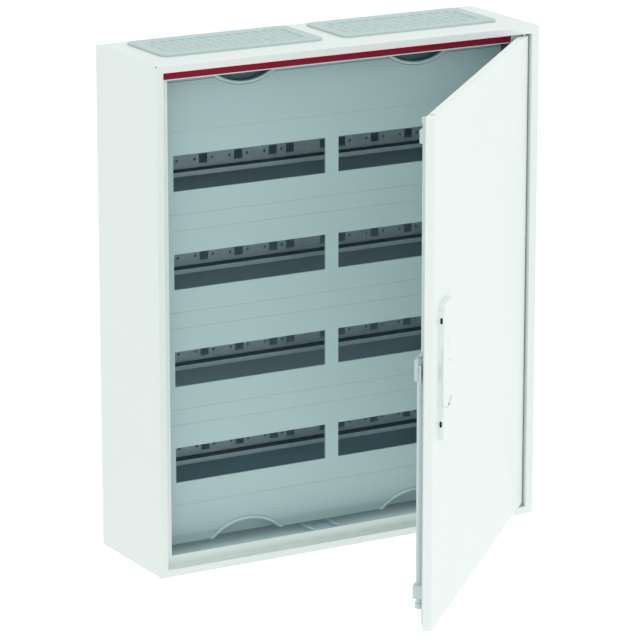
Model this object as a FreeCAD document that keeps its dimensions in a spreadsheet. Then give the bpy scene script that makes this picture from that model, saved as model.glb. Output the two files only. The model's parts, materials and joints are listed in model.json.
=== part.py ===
import FreeCAD, Part
import os
import re
import Sketcher

# Wall-mounted switchboard cabinet, four rows of 24 modules.
# Millimetres. Origin at the centre of the rear face, +X right, +Y into the wall, +Z up.
# The front looks along -Y. Door parts are drawn shut and then swung open about the hinge.

os.makedirs("parts", exist_ok=True)
doc = FreeCAD.newDocument("switchboard_cabinet")
dims = doc.addObject("Spreadsheet::Sheet", "dims")

# ---------------------------------------------------------------- driving dimensions
SIZES = (
    ("width", 550, "overall width"),
    ("height", 650, "overall height"),
    ("depth", 160, "overall depth"),
    ("steel", 1.2, "sheet thickness of walls and door"),
    ("rim_side", 11, "front rim width at the sides"),
    ("rim_end", 10, "front rim width at top and bottom"),
    ("rebate", 15, "depth of the door rebate"),
    ("seat", 12.5, "width of the seat flange behind the rebate"),
    ("fixing_x", 400, "wall fixing holes, distance across"),
    ("fixing_z", 570, "wall fixing holes, distance up"),
    ("fixing_r", 4.25, "wall fixing hole radius"),
    ("door_gap_x", 2.2, "gap beside the door"),
    ("door_gap_z", 3, "gap above and below the door"),
    ("door_thick", 11.3, "door pan depth"),
    ("door_lip", 9, "inward lip of the door pan"),
    ("open_angle", 45.5, "door opening angle of the drawn position"),
    ("hinge_inset", 9.7, "hinge axis from the rebate wall"),
    ("hinge_back", 4.5, "hinge axis behind the door front"),
    ("pin_r", 2, "hinge pin radius"),
    ("pin_fit", 0.05, "running clearance of the hinge pin in its bush"),
    ("bush_r", 3, "hinge bush outer radius"),
    ("bush_height", 3.6, "hinge bush length above the rebate wall"),
    ("pin_reach", 5, "hinge pin length beyond the rebate wall"),
    ("pin_tail", 27, "hinge pin length inside the door"),
    ("block_wide", 14, "hinge block width"),
    ("block_high", 20, "hinge block height"),
    ("seal_thick", 2.6, "door seal thickness"),
    ("seal_wide", 5, "door seal width"),
    ("seal_in_x", 5.8, "door seal outer edge in from the door edge, at the sides"),
    ("seal_in_z", 3, "door seal outer edge in from the door edge, top and bottom"),
    ("trim_thick", 0.8, "coloured trim strip thickness"),
    ("trim_high", 10.7, "coloured trim strip height"),
    ("trim_gap", 0.3, "clearance above and beside the trim strip"),
    ("trim_clear", 13, "end of the trim strip from the hinge axis"),
    ("row_pitch", 125, "distance between rows"),
    ("row_offset", 10.8, "height of the rows' middle below the centre"),
    ("rail_high", 35, "rail height"),
    ("rail_deep", 15, "rail depth"),
    ("rail_channel", 25, "rail channel outer height"),
    ("rail_steel", 1.5, "rail thickness"),
    ("rail_back", 44, "back of the rails in front of the wall plane"),
    ("punch_pitch", 50, "pitch of the square punchings"),
    ("punch_side", 12, "side of a square punching"),
    ("punch_r", 1.9, "radius of a round punching"),
    ("punch_offset", 12.5, "round punching beside a square one"),
    ("carrier_in", 13.5, "middle of a rail carrier in from the edge of the touch cover"),
    ("carrier_wide", 24, "rail carrier width"),
    ("carrier_steel", 1.5, "rail carrier thickness"),
    ("carrier_gap", 23.8, "end of a rail carrier from the top or bottom sheet"),
    ("carrier_foot", 9, "rail carrier foot width"),
    ("screw_r", 2.5, "rail screw radius"),
    ("screw_play", 0.3, "clearance round a screw shank"),
    ("screw_head_r", 4.5, "rail screw head radius"),
    ("screw_head", 3, "rail screw head height"),
    ("screw_long", 8, "rail screw shank length"),
    ("cover_front", 109, "front of the touch cover in front of the wall plane"),
    ("cover_thick", 2.5, "touch cover thickness"),
    ("cover_gap_x", 2, "touch cover edge inside the seat flange edge, at the sides"),
    ("cover_gap_z", 0.3, "touch cover edge inside the seat flange edge, top and bottom"),
    ("cover_seam", 0.4, "seam between touch cover sections"),
    ("cover_step", 10.6, "stepped border of the end covers"),
    ("cover_step_deep", 1.2, "depth of the stepped border"),
    ("bridge_high", 20.2, "height of a plain cover section between two rows"),
    ("slot_high", 45.4, "device slot height"),
    ("slot_wide", 216, "device slot width, twelve modules"),
    ("post_wide", 19, "web between the two slots of a row"),
    ("grip_x", 125, "finger recess position from the middle"),
    ("grip_half", 54, "half chord of the finger recess at the cover edge"),
    ("grip_deep", 22.7, "height of the finger recess"),
    ("grip_rim", 5, "rim thickness of the finger recess"),
    ("grip_proud", 1.5, "rim height in front of the cover"),
    ("grip_wall", 11, "rim height behind the cover"),
    ("bar_wide", 16, "touch cover side bar width"),
    ("bar_thick", 6, "touch cover side bar thickness"),
    ("stud_r", 7, "touch cover pillar radius"),
    ("stud_in", 40.2, "touch cover pillar in from the cover's upper or lower edge"),
    ("flange_between", 27, "gap between two cable flanges"),
    ("flange_wide", 228, "cable flange width"),
    ("flange_deep", 104, "cable flange depth"),
    ("flange_y", 64, "cable flange centre in front of the wall plane"),
    ("flange_round", 11, "cable flange corner radius"),
    ("flange_thick", 3, "cable flange height on the wall"),
    ("flange_lap", 4.3, "cable flange overlap on the wall"),
    ("flange_wall", 2.5, "cable flange skirt thickness"),
    ("flange_skirt", 6, "cable flange skirt depth"),
    ("membrane_in", 16, "membrane edge in from the flange edge"),
    ("membrane_thick", 2.2, "membrane thickness"),
    ("block_long", 170, "terminal bar length"),
    ("block_side", 9, "terminal bar section"),
    ("terminal_x", 105, "terminal bar position from the middle"),
    ("terminal_in", 34.2, "terminal bar below the upper edge of the touch cover"),
    ("terminal_y", 62, "terminal bar in front of the wall plane"),
    ("terminal_pitch", 11, "terminal screw pitch"),
    ("terminal_screw_r", 2.6, "terminal screw radius"),
    ("holder_wall", 3, "terminal holder thickness"),
    ("earth_r", 3, "earth stud radius"),
    ("earth_long", 22, "earth stud length"),
    ("spindle_x", 51.3, "handle axis from the free edge of the door"),
    ("spindle_r", 4, "spindle radius"),
    ("handle_fit", 0.05, "running clearance of the handle"),
    ("plate_wide", 48, "handle plate width"),
    ("plate_up", 82, "handle plate above the axis"),
    ("plate_down", 84, "handle plate below the axis"),
    ("plate_thick", 6.7, "handle plate thickness"),
    ("plate_floor", 4, "handle plate thickness under the lever"),
    ("plate_round", 4, "handle plate corner radius"),
    ("dimple_wide", 3, "release slot width, in the side of the handle plate"),
    ("dimple_high", 7.6, "release slot height"),
    ("dimple_deep", 2, "release slot depth"),
    ("dimple_out", 3.1, "release slot middle in front of the door"),
    ("dimple_z", 63, "release slots and plate screws above and below the axis"),
    ("scoop_half", 15, "half height of the finger scoop under the lever"),
    ("scoop_deep", 2.6, "depth of the finger scoop"),
    ("hub_r", 10, "handle hub radius"),
    ("lever_up", 36, "radius of the lever's upper end about the axis"),
    ("lever_down", 46.6, "radius of the lever's lower end about the axis"),
    ("lever_lap", 1, "lever edge past the axis"),
    ("lever_gap", 0.3, "gap between lever and plate"),
    ("case_wide", 43, "lock case width"),
    ("case_high", 26, "lock case height"),
    ("case_back", 29.8, "lock case back behind the door front"),
    ("pinion_r", 6.2, "lock hub radius"),
    ("lock_play", 0.3, "free clearance inside the lock"),
    ("rod_r", 3.5, "lock rod radius"),
    ("rod_fit", 0.08, "running clearance of the lock rods"),
    ("rod_pair", 10, "lock rods from the handle axis"),
    ("rod_back", 25.5, "lock rod axis behind the door front"),
    ("rod_end", 4.5, "retracted rod end inside the seat flange edge"),
    ("rod_start", 8, "lock rod overlap past the handle axis"),
    ("guide_wide", 16, "rod guide width"),
    ("guide_high", 16, "rod guide height"),
    ("guide_in", 14, "rod guide below the rod end"),
    ("guide_back", 31, "rod guide back behind the door front"),
    ("tip_r", 4.6, "rod tip radius"),
    ("tip_high", 7, "rod tip height"),
    ("bolt_high", 24, "side bolt height"),
    ("bolt_thick", 3, "side bolt thickness"),
    ("bolt_front", 17.2, "side bolt front behind the door front"),
    ("bolt_end", 1.5, "retracted bolt end inside the seat flange edge"),
    ("bolt_tail", 5.5, "side bolt inner end from the handle axis"),
)

for line, (alias, amount, note) in enumerate(SIZES, start=1):
    dims.set("A%d" % line, alias)
    dims.set("B%d" % line, str(amount))
    dims.setAlias("B%d" % line, alias)
    dims.set("C%d" % line, note)
doc.recompute()

# Places worked out from the driving dimensions, by name.
PLACES = {
    "half_x": "(width / 2)",
    "half_z": "(height / 2)",
    "in_x": "(width / 2 - steel)",
    "in_z": "(height / 2 - steel)",
    "open_x": "(width / 2 - rim_side)",
    "open_z": "(height / 2 - rim_end)",
    "seat_x": "(width / 2 - rim_side - seat)",
    "seat_z": "(height / 2 - rim_end - seat)",
    "seat_y": "(-depth + rebate)",
    "door_x": "(width / 2 - rim_side - door_gap_x)",
    "door_z": "(height / 2 - rim_end - door_gap_z)",
    "skin_y": "(-depth + steel)",
    "lip_y": "(-depth + door_thick)",
    "hinge_x": "(width / 2 - rim_side - hinge_inset)",
    "hinge_y": "(-depth + hinge_back)",
    "lock_x": "(-(width / 2 - rim_side - door_gap_x) + spindle_x)",
    "rod_z": "(height / 2 - rim_end - seat - rod_end)",
    "web_y": "(-rail_back - rail_steel)",
    "row_half": "((row_pitch - bridge_high) / 2 - cover_seam)",
    "cover_half_x": "(width / 2 - rim_side - seat - cover_gap_x)",
    "cover_half_z": "(height / 2 - rim_end - seat - cover_gap_z)",
    "carrier_x": "(cover_half_x - carrier_in)",
    "carrier_half": "(in_z - carrier_gap)",
    "rail_half": "(carrier_x + carrier_wide / 2)",
    "stud_z": "(cover_half_z - stud_in)",
    "flange_x": "((flange_between + flange_wide) / 2)",
    "terminal_z": "(cover_half_z - terminal_in)",
    "lever_thick": "(plate_thick - plate_floor - lever_gap)",
    "scoop_r": "((scoop_half * scoop_half + scoop_deep * scoop_deep) / (2 * scoop_deep))",
    "cover_y": "(-cover_front)",
    "cover_back_y": "(-cover_front + cover_thick)",
    "slot_in": "(post_wide / 2)",
    "slot_out": "(post_wide / 2 + slot_wide)",
    "grip_r": "((grip_half * grip_half + grip_deep * grip_deep) / (2 * grip_deep))",
}
WORD = re.compile(r"[a-z][a-z_]*")
ALIASES = {alias for alias, amount, note in SIZES}
PARTS = {}


def formula(text):
    """Turn a formula in plain size names into an expression on the sheet."""
    def swap(match):
        word = match.group()
        if word in PLACES:
            return formula(PLACES[word])
        return "dims." + word if word in ALIASES else word
    return WORD.sub(swap, str(text))


def amount_of(text):
    """Give the present value of a formula in plain size names."""
    return float(dims.evalExpression(formula(text)))


def bind(item, **formulas):
    """Bind properties of an object to formulas."""
    for name, text in formulas.items():
        item.setExpression(name, formula(text))
    return item


def put(item, x="0", y="0", z="0"):
    """Bind the place of an object."""
    for letter, text in (("x", x), ("y", y), ("z", z)):
        item.setExpression("Placement.Base." + letter, formula(text))
    return item


def block(name, x, y, z):
    """Make a box between a low and a high formula on each axis."""
    item = doc.addObject("Part::Box", name)
    bind(item, Length="(%s) - (%s)" % (x[1], x[0]))
    bind(item, Width="(%s) - (%s)" % (y[1], y[0]))
    bind(item, Height="(%s) - (%s)" % (z[1], z[0]))
    return put(item, x[0], y[0], z[0])


def rod(name, radius, length, x="0", y="0", z="0", along="z"):
    """Make a cylinder that starts at a point and runs along +X, +Y or +Z."""
    item = doc.addObject("Part::Cylinder", name)
    bind(item, Radius=radius, Height=length)
    turn = {
        "x": FreeCAD.Rotation(FreeCAD.Vector(0, 1, 0), 90),
        "y": FreeCAD.Rotation(FreeCAD.Vector(1, 0, 0), -90),
        "z": FreeCAD.Rotation(),
    }
    item.Placement = FreeCAD.Placement(FreeCAD.Vector(), turn[along])
    return put(item, x, y, z)


def cut(name, base, *tools):
    """Cut tools out of a base."""
    tool = tools[0]
    if len(tools) > 1:
        tool = fuse(name + "_tools", *tools)
    item = doc.addObject("Part::Cut", name)
    item.Base = base
    item.Tool = tool
    return item


def fuse(name, *items):
    """Join solids into one."""
    item = doc.addObject("Part::MultiFuse", name)
    item.Shapes = list(items)
    item.Refine = True
    return item


def common(name, base, tool):
    """Keep what two solids share."""
    item = doc.addObject("Part::Common", name)
    item.Base = base
    item.Tool = tool
    return item


def group(name, items):
    """Keep solids together without joining them."""
    item = doc.addObject("Part::Compound", name)
    item.Links = list(items)
    return item


def part(node, item):
    """Give a finished sub-part the name of its file."""
    item.Label = node
    PARTS[node] = item
    return item


def swung(node, item):
    """Finish a door sub-part and swing it open about the hinge axis."""
    held = group(node + "_swung", [item])
    bind(held, **{"Placement.Rotation.Angle": "open_angle"})
    put(
        held,
        "hinge_x - hinge_x * cos(open_angle) + hinge_y * sin(open_angle)",
        "hinge_y - hinge_x * sin(open_angle) - hinge_y * cos(open_angle)",
    )
    return part(node, held)


def sketch_on(body, role, offset="0"):
    """Start a sketch on an origin plane of its body, moved along the plane's normal."""
    sketch = body.newObject("Sketcher::SketchObject", body.Name + "_sketch")
    planes = [item for item in body.Origin.OriginFeatures if item.Role == role]
    sketch.AttachmentSupport = (planes[0], [""])
    sketch.MapMode = "FlatFace"
    sketch.setExpression("AttachmentOffset.Base.z", formula(offset))
    return sketch


def draw_outline(sketch, points):
    """Draw a closed outline whose corners are formulas across and up from the origin."""
    first = sketch.GeometryCount
    count = len(points)
    corners = [FreeCAD.Vector(amount_of(across), amount_of(up), 0) for across, up in points]
    for index in range(count):
        line = Part.LineSegment(corners[index], corners[(index + 1) % count])
        sketch.addGeometry(line, False)
    for index in range(count):
        after = first + (index + 1) % count
        sketch.addConstraint(Sketcher.Constraint("Coincident", first + index, 2, after, 1))
    for index, (across, up) in enumerate(points):
        pin_point(sketch, first + index, 1, across, up)


def draw_rectangle(sketch, x, z):
    """Draw a rectangle between a low and a high formula each way."""
    draw_outline(sketch, [(x[0], z[0]), (x[1], z[0]), (x[1], z[1]), (x[0], z[1])])


def draw_circle(sketch, across, up, radius):
    """Draw a circle whose centre and radius are formulas."""
    centre = FreeCAD.Vector(amount_of(across), amount_of(up), 0)
    circle = Part.Circle(centre, FreeCAD.Vector(0, 0, 1), amount_of(radius))
    index = sketch.addGeometry(circle, False)
    size = sketch.addConstraint(Sketcher.Constraint("Radius", index, amount_of(radius)))
    sketch.setExpression("Constraints[%d]" % size, formula(radius))
    pin_point(sketch, index, 3, across, up)


def pin_point(sketch, index, end, across, up):
    """Hold a sketch point at two formulas from the sketch origin."""
    for kind, text in (("DistanceX", across), ("DistanceY", up)):
        rule = Sketcher.Constraint(kind, -1, 1, index, end, amount_of(text))
        number = sketch.addConstraint(rule)
        sketch.setExpression("Constraints[%d]" % number, formula(text))


def pad(body, sketch, length, reverse=False, middle=False):
    """Pad a sketch, away from its plane or to both sides of it."""
    feature = body.newObject("PartDesign::Pad", body.Name + "_pad")
    feature.Profile = sketch
    feature.Reversed = reverse
    feature.Midplane = middle
    bind(feature, Length=length)
    return feature


def pocket(body, sketch, length=None, reverse=False):
    """Pocket a sketch to a depth, or right through to both sides."""
    feature = body.newObject("PartDesign::Pocket", body.Name + "_pocket")
    feature.Profile = sketch
    feature.Reversed = reverse
    if length is None:
        feature.Type = "ThroughAll"
        feature.Midplane = True
    else:
        bind(feature, Length=length)
    return feature


def new_body(name):
    """Start a body."""
    return doc.addObject("PartDesign::Body", name)


def wide(half):
    """Give the two ends of a span centred on zero."""
    return ("-" + half, half)


def about(centre, size):
    """Give the two ends of a span of a size about a centre."""
    return ("%s - %s / 2" % (centre, size), "%s + %s / 2" % (centre, size))


def row_level(row):
    """Give the height of a row, counted from the top."""
    return "(%s * row_pitch - row_offset)" % (1.5 - row)


SIDES = (("left", "-"), ("right", "+"))
ENDS = (("upper", "+"), ("lower", "-"))


# ---------------------------------------------------------------- enclosure
def make_back_panel():
    """Flat rear sheet with four wall fixing holes."""
    body = new_body("back_panel_body")
    plate = sketch_on(body, "XZ_Plane")
    draw_rectangle(plate, wide("in_x"), wide("in_z"))
    pad(body, plate, "steel")
    holes = sketch_on(body, "XZ_Plane")
    for across in ("-fixing_x / 2", "fixing_x / 2"):
        for up in ("-fixing_z / 2", "fixing_z / 2"):
            draw_circle(holes, across, up, "fixing_r")
    draw_circle(holes, "-carrier_x + 2 * carrier_wide", "-stud_z", "earth_r")
    pocket(body, holes)
    part("back_panel", body)


def make_side_wall(side, sign):
    """Side sheet folded into the front rim, the rebate wall and the seat flange."""
    name = side + "_wall"
    inner = sign + "in_x"

    def span(low, high):
        return (sign + high, sign + low) if sign == "-" else (low, high)

    sheet = block(name + "_sheet", span("in_x", "half_x"), ("-depth", "0"), wide("half_z"))
    rim = block(name + "_rim", span("open_x", "in_x"), ("-depth", "skin_y"), wide("half_z"))
    back = block(
        name + "_back", span("open_x", "(open_x + steel)"), ("skin_y", "seat_y + steel"), wide("open_z")
    )
    seat = block(
        name + "_seat", span("seat_x", "open_x"), ("seat_y", "seat_y + steel"), wide("open_z")
    )
    part(name, fuse(name + "_fold", sheet, rim, back, seat))


def make_end_wall(name, sign):
    """Top or bottom sheet, folded like the sides, with two cable cut-outs and a hinge hole."""
    def span(low, high):
        return ("-" + high, "-" + low) if sign == "-" else (low, high)

    sheet = block(name + "_sheet", wide("in_x"), ("skin_y", "0"), span("in_z", "half_z"))
    rim = block(name + "_rim", wide("open_x"), ("-depth", "skin_y"), span("open_z", "half_z"))
    back = block(
        name + "_back", wide("open_x"), ("skin_y", "seat_y + steel"), span("open_z", "(open_z + steel)")
    )
    seat = block(
        name + "_seat", wide("seat_x"), ("seat_y", "seat_y + steel"), span("seat_z", "open_z")
    )
    fold = fuse(name + "_fold", sheet, rim, back, seat)
    tools = [
        rod(
            name + "_hinge_hole", "bush_r", "rim_end - steel",
            "hinge_x", "hinge_y", "open_z" if sign == "+" else "-in_z",
        )
    ]
    for side, hand in SIDES:
        tools.append(
            block(
                name + "_cutout_" + side,
                about(hand + "flange_x", "(flange_wide - 2 * flange_lap)"),
                about("-flange_y", "(flange_deep - 2 * flange_lap)"),
                span("(in_z - 1)", "(half_z + 1)"),
            )
        )
    part(name, cut(name + "_cut", fold, *tools))


def make_hinge_bush(end, sign):
    """Plastic bush in the rebate wall that the hinge pin turns in."""
    name = end + "_hinge_bush"
    start = "open_z" if sign == "+" else "-open_z - steel - bush_height"
    length = "steel + bush_height"
    ring = rod(name + "_ring", "bush_r", length, "hinge_x", "hinge_y", start)
    hole = rod(name + "_hole", "pin_r + pin_fit", length, "hinge_x", "hinge_y", start)
    part(name, cut(name + "_cut", ring, hole))


def make_trim_strip():
    """Coloured strip along the top seat flange."""
    strip = block(
        "trim_strip_bar",
        ("-open_x + trim_gap", "hinge_x - trim_clear"),
        ("seat_y - trim_thick", "seat_y"),
        ("open_z - trim_gap - trim_high", "open_z - trim_gap"),
    )
    part("trim_strip", strip)


# ---------------------------------------------------------------- cable flanges
def rounded_plate(name, x, y, z, radius):
    """Plate with four rounded upright corners."""
    base = block(name + "_plate", x, y, z)
    item = doc.addObject("Part::Fillet", name)
    item.Base = base
    doc.recompute()
    upright = []
    for index, edge in enumerate(base.Shape.Edges, start=1):
        if abs(edge.tangentAt(edge.FirstParameter).z) > 0.99:
            upright.append((index, amount_of(radius), amount_of(radius)))
    item.Edges = upright
    return item


def make_cable_flange(name, hand, sign):
    """Plastic frame on the wall with a skirt through the cut-out and a soft membrane."""
    def span(low, high):
        return ("-" + high, "-" + low) if sign == "-" else (low, high)

    across = hand + "flange_x"
    face = rounded_plate(
        name + "_face", about(across, "flange_wide"), about("-flange_y", "flange_deep"),
        span("half_z", "(half_z + flange_thick)"), "flange_round",
    )
    skirt_x = about(across, "(flange_wide - 2 * flange_lap)")
    skirt_y = about("-flange_y", "(flange_deep - 2 * flange_lap)")
    skirt = block(name + "_skirt", skirt_x, skirt_y, span("(half_z - flange_skirt)", "half_z"))
    well = block(
        name + "_well",
        about(across, "(flange_wide - 2 * flange_lap - 2 * flange_wall)"),
        about("-flange_y", "(flange_deep - 2 * flange_lap - 2 * flange_wall)"),
        span("(half_z - flange_skirt - 1)", "half_z"),
    )
    window = rounded_plate(
        name + "_window",
        about(across, "(flange_wide - 2 * membrane_in)"),
        about("-flange_y", "(flange_deep - 2 * membrane_in)"),
        span("(half_z - 1)", "(half_z + flange_thick + 1)"), "flange_round",
    )
    body = cut(name + "_cut", fuse(name + "_body", face, skirt), well, window)
    part(name, body)
    membrane = rounded_plate(
        name + "_soft",
        about(across, "(flange_wide - 2 * membrane_in)"),
        about("-flange_y", "(flange_deep - 2 * membrane_in)"),
        span("half_z", "(half_z + membrane_thick)"), "flange_round",
    )
    part(name.replace("flange", "membrane"), membrane)


# ---------------------------------------------------------------- rails
def make_carrier(side, hand):
    """Upright folded carrier on the back panel, punched on the row pitch."""
    body = new_body(side + "_carrier_body")
    x = hand + "carrier_x"
    half = "carrier_wide / 2"
    front = "-rail_back"
    inner = "-rail_back + carrier_steel"
    outline = sketch_on(body, "XY_Plane")
    draw_outline(outline, [
        (x + " - " + half, front),
        (x + " + " + half, front),
        (x + " + " + half, "-steel - carrier_steel"),
        (x + " + " + half + " + carrier_foot", "-steel - carrier_steel"),
        (x + " + " + half + " + carrier_foot", "-steel"),
        (x + " + " + half + " - carrier_steel", "-steel"),
        (x + " + " + half + " - carrier_steel", inner),
        (x + " - " + half + " + carrier_steel", inner),
        (x + " - " + half + " + carrier_steel", "-steel"),
        (x + " - " + half + " - carrier_foot", "-steel"),
        (x + " - " + half + " - carrier_foot", "-steel - carrier_steel"),
        (x + " - " + half, "-steel - carrier_steel"),
    ])
    pad(body, outline, "2 * carrier_half", middle=True)
    holes = sketch_on(body, "XZ_Plane", "rail_back - carrier_steel / 2")
    for row in range(4):
        draw_circle(holes, x, row_level(row), "screw_r + screw_play")
        for step in (-1, 1):
            up = "%s + %d * punch_pitch / 2" % (row_level(row), step)
            draw_circle(holes, x, up, "screw_r + screw_play")
    feature = pocket(body, holes, "carrier_steel")
    feature.Midplane = True
    part(side + "_rail_carrier", body)


def make_rail(row):
    """Hat-section rail with square and round punchings along its web."""
    body = new_body("rail_body_%d" % (row + 1))
    level = row_level(row)
    front = "-rail_back - rail_deep"
    web = "web_y"
    outer = "rail_channel / 2"
    outline = sketch_on(body, "YZ_Plane")
    draw_outline(outline, [
        ("-rail_back", level + " - " + outer),
        ("-rail_back", level + " + " + outer),
        (front + " + rail_steel", level + " + " + outer),
        (front + " + rail_steel", level + " + rail_high / 2"),
        (front, level + " + rail_high / 2"),
        (front, level + " + " + outer + " - rail_steel"),
        (web, level + " + " + outer + " - rail_steel"),
        (web, level + " - " + outer + " + rail_steel"),
        (front, level + " - " + outer + " + rail_steel"),
        (front, level + " - rail_high / 2"),
        (front + " + rail_steel", level + " - rail_high / 2"),
        (front + " + rail_steel", level + " - " + outer),
    ])
    pad(body, outline, "2 * rail_half", middle=True)
    punched = sketch_on(body, "XZ_Plane", "rail_back + rail_steel / 2")
    side = "punch_side / 2"
    for step in (-4, -3, -2, -1, -0.5, 0.5, 1, 2, 3, 4):
        middle = "%s * punch_pitch" % step
        draw_rectangle(
            punched,
            (middle + " - " + side, middle + " + " + side),
            (level + " - " + side, level + " + " + side),
        )
    for step in range(-4, 5):
        for sign in ("-", "+"):
            middle = "%s * punch_pitch %s punch_offset" % (step, sign)
            if abs(step * 2 + (1 if sign == "+" else -1)) > 1:
                draw_circle(punched, middle, level, "punch_r")
    for hand in ("-", "+"):
        draw_circle(punched, hand + "carrier_x", level, "screw_r + screw_play")
    feature = pocket(body, punched, "2 * rail_steel")
    feature.Midplane = True
    part("din_rail_%d" % (row + 1), body)


def make_rail_screws():
    """Screws that hold the rails to the carriers."""
    screws = []
    for row in range(4):
        for side, hand in SIDES:
            name = "rail_screw_%s_%d" % (side, row + 1)
            x = hand + "carrier_x"
            level = row_level(row)
            head = rod(
                name + "_head", "screw_head_r", "screw_head", x, "web_y - screw_head", level, along="y"
            )
            shank = rod(name + "_shank", "screw_r", "screw_long", x, "web_y", level, along="y")
            screws.append(fuse(name, head, shank))
    part("rail_screws", group("rail_screw_group", screws))


# ---------------------------------------------------------------- touch cover
def make_row_cover(row):
    """Cover section of one row with its two device slots."""
    body = new_body("row_cover_body_%d" % (row + 1))
    level = row_level(row)
    plate = sketch_on(body, "XZ_Plane", "cover_front")
    draw_rectangle(
        plate, wide("cover_half_x"), (level + " - row_half", level + " + row_half")
    )
    pad(body, plate, "cover_thick", reverse=True)
    slots = sketch_on(body, "XZ_Plane", "cover_front")
    up = (level + " - slot_high / 2", level + " + slot_high / 2")
    draw_rectangle(slots, ("-slot_out", "-slot_in"), up)
    draw_rectangle(slots, ("slot_in", "slot_out"), up)
    pocket(body, slots, "cover_thick")
    part("row_cover_%d" % (row + 1), body)


def make_bridge(row):
    """Plain cover section between two rows."""
    low = row_level(row + 1) + " + row_half + cover_seam"
    high = row_level(row) + " - row_half - cover_seam"
    bridge = block(
        "bridge_plate_%d" % (row + 1), wide("cover_half_x"), ("cover_y", "cover_back_y"), (low, high)
    )
    part("cover_bridge_%d" % (row + 1), bridge)


def make_end_cover(end, sign):
    """Cover section above or below the rows, with a stepped border and two finger recesses."""
    name = end + "_end_cover"
    if sign == "+":
        inner = row_level(0) + " + row_half + cover_seam"
        face_z = (inner, "cover_half_z - cover_step")
        full_z = (inner, "cover_half_z")
        centre = "cover_half_z - grip_deep + grip_r"
    else:
        inner = row_level(3) + " - row_half - cover_seam"
        face_z = ("-cover_half_z + cover_step", inner)
        full_z = ("-cover_half_z", inner)
        centre = "-cover_half_z + grip_deep - grip_r"
    face = block(name + "_face", wide("cover_half_x"), ("cover_y", "cover_y + cover_step_deep"), face_z)
    base = block(
        name + "_base", wide("cover_half_x"), ("cover_y + cover_step_deep", "cover_back_y"), full_z
    )
    solids = [face, base]
    hollows = []
    for side, hand in SIDES:
        x = hand + "grip_x"
        rim = rod(
            "%s_%s_rim" % (name, side), "grip_r", "grip_proud + cover_thick + grip_wall",
            x, "cover_y - grip_proud", centre, along="y",
        )
        limit = block(
            "%s_%s_limit" % (name, side), about(x, "(2 * grip_half)"),
            ("cover_y - grip_proud", "cover_back_y + grip_wall"), full_z,
        )
        solids.append(common("%s_%s_segment" % (name, side), rim, limit))
        hollows.append(
            rod(
                "%s_%s_hollow" % (name, side), "grip_r - grip_rim",
                "2 * grip_proud + cover_thick + 2 * grip_wall",
                x, "cover_y - 2 * grip_proud", centre, along="y",
            )
        )
    part(name, cut(name + "_cut", fuse(name + "_body", *solids), *hollows))


def make_side_bar(side, hand):
    """Upright bar behind the cover that the cover sections clip to."""
    name = "cover_bar_" + side
    x = about(hand + "carrier_x", "bar_wide")
    bar = block(name + "_bar", x, ("cover_back_y", "cover_back_y + bar_thick"), wide("cover_half_z"))
    part(name, bar)


def make_pillars():
    """Pillars between the rail carriers and the cover bars."""
    pillars = []
    for side, hand in SIDES:
        for end, sign in ENDS:
            name = "pillar_%s_%s" % (end, side)
            start = "cover_back_y + bar_thick"
            pillars.append(
                rod(
                    name, "stud_r", "cover_front - cover_thick - bar_thick - rail_back",
                    hand + "carrier_x", start, sign + "stud_z", along="y",
                )
            )
    part("cover_pillars", group("pillar_group", pillars))


# ---------------------------------------------------------------- terminals and earth
def make_terminals(name, hand):
    """Brass terminal bar with its screws on a plastic holder."""
    x = hand + "terminal_x"
    half = "block_side / 2"
    bar_x = about(x, "block_long")
    bar_y = ("-terminal_y - block_side", "-terminal_y")
    bar_z = about("terminal_z", "block_side")
    bar = block(name + "_bar_solid", bar_x, bar_y, bar_z)
    holes = []
    screws = []
    count = 13
    for index in range(count):
        step = "%s + %d * terminal_pitch" % (x, index - count // 2)
        holes.append(
            rod(
                "%s_hole_%d" % (name, index), "terminal_screw_r", half,
                step, "-terminal_y - block_side", "terminal_z", along="y",
            )
        )
        screws.append(
            rod(
                "%s_screw_%d" % (name, index), "terminal_screw_r", half + " + 1",
                step, "-terminal_y - block_side - 1", "terminal_z", along="y",
            )
        )
    part(name + "_bar", cut(name + "_bar_cut", bar, *holes))
    part(name + "_screws", group(name + "_screw_group", screws))
    beam = block(name + "_beam", bar_x, ("-terminal_y", "-terminal_y + holder_wall"), bar_z)
    feet = []
    for index, end in enumerate((bar_x[0], bar_x[1] + " - 4 * holder_wall")):
        feet.append(
            block(
                "%s_foot_%d" % (name, index), (end, end + " + 4 * holder_wall"),
                ("-terminal_y + holder_wall", "-steel"), bar_z,
            )
        )
    part(name + "_holder", fuse(name + "_holder_body", beam, *feet))


def make_earth_stud():
    """Earth stud through the back panel with its nut."""
    x = "-carrier_x + 2 * carrier_wide"
    z = "-stud_z"
    stud = rod("earth_shank", "earth_r", "earth_long + steel", x, "-earth_long - steel", z, along="y")
    nut = doc.addObject("Part::Prism", "earth_nut")
    nut.Polygon = 6
    bind(nut, Circumradius="2 * earth_r", Height="2 * earth_r")
    nut.Placement = FreeCAD.Placement(
        FreeCAD.Vector(), FreeCAD.Rotation(FreeCAD.Vector(1, 0, 0), -90)
    )
    put(nut, x, "-steel - 2 * earth_r", z)
    part("earth_stud", fuse("earth_stud_body", stud, nut))


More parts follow.
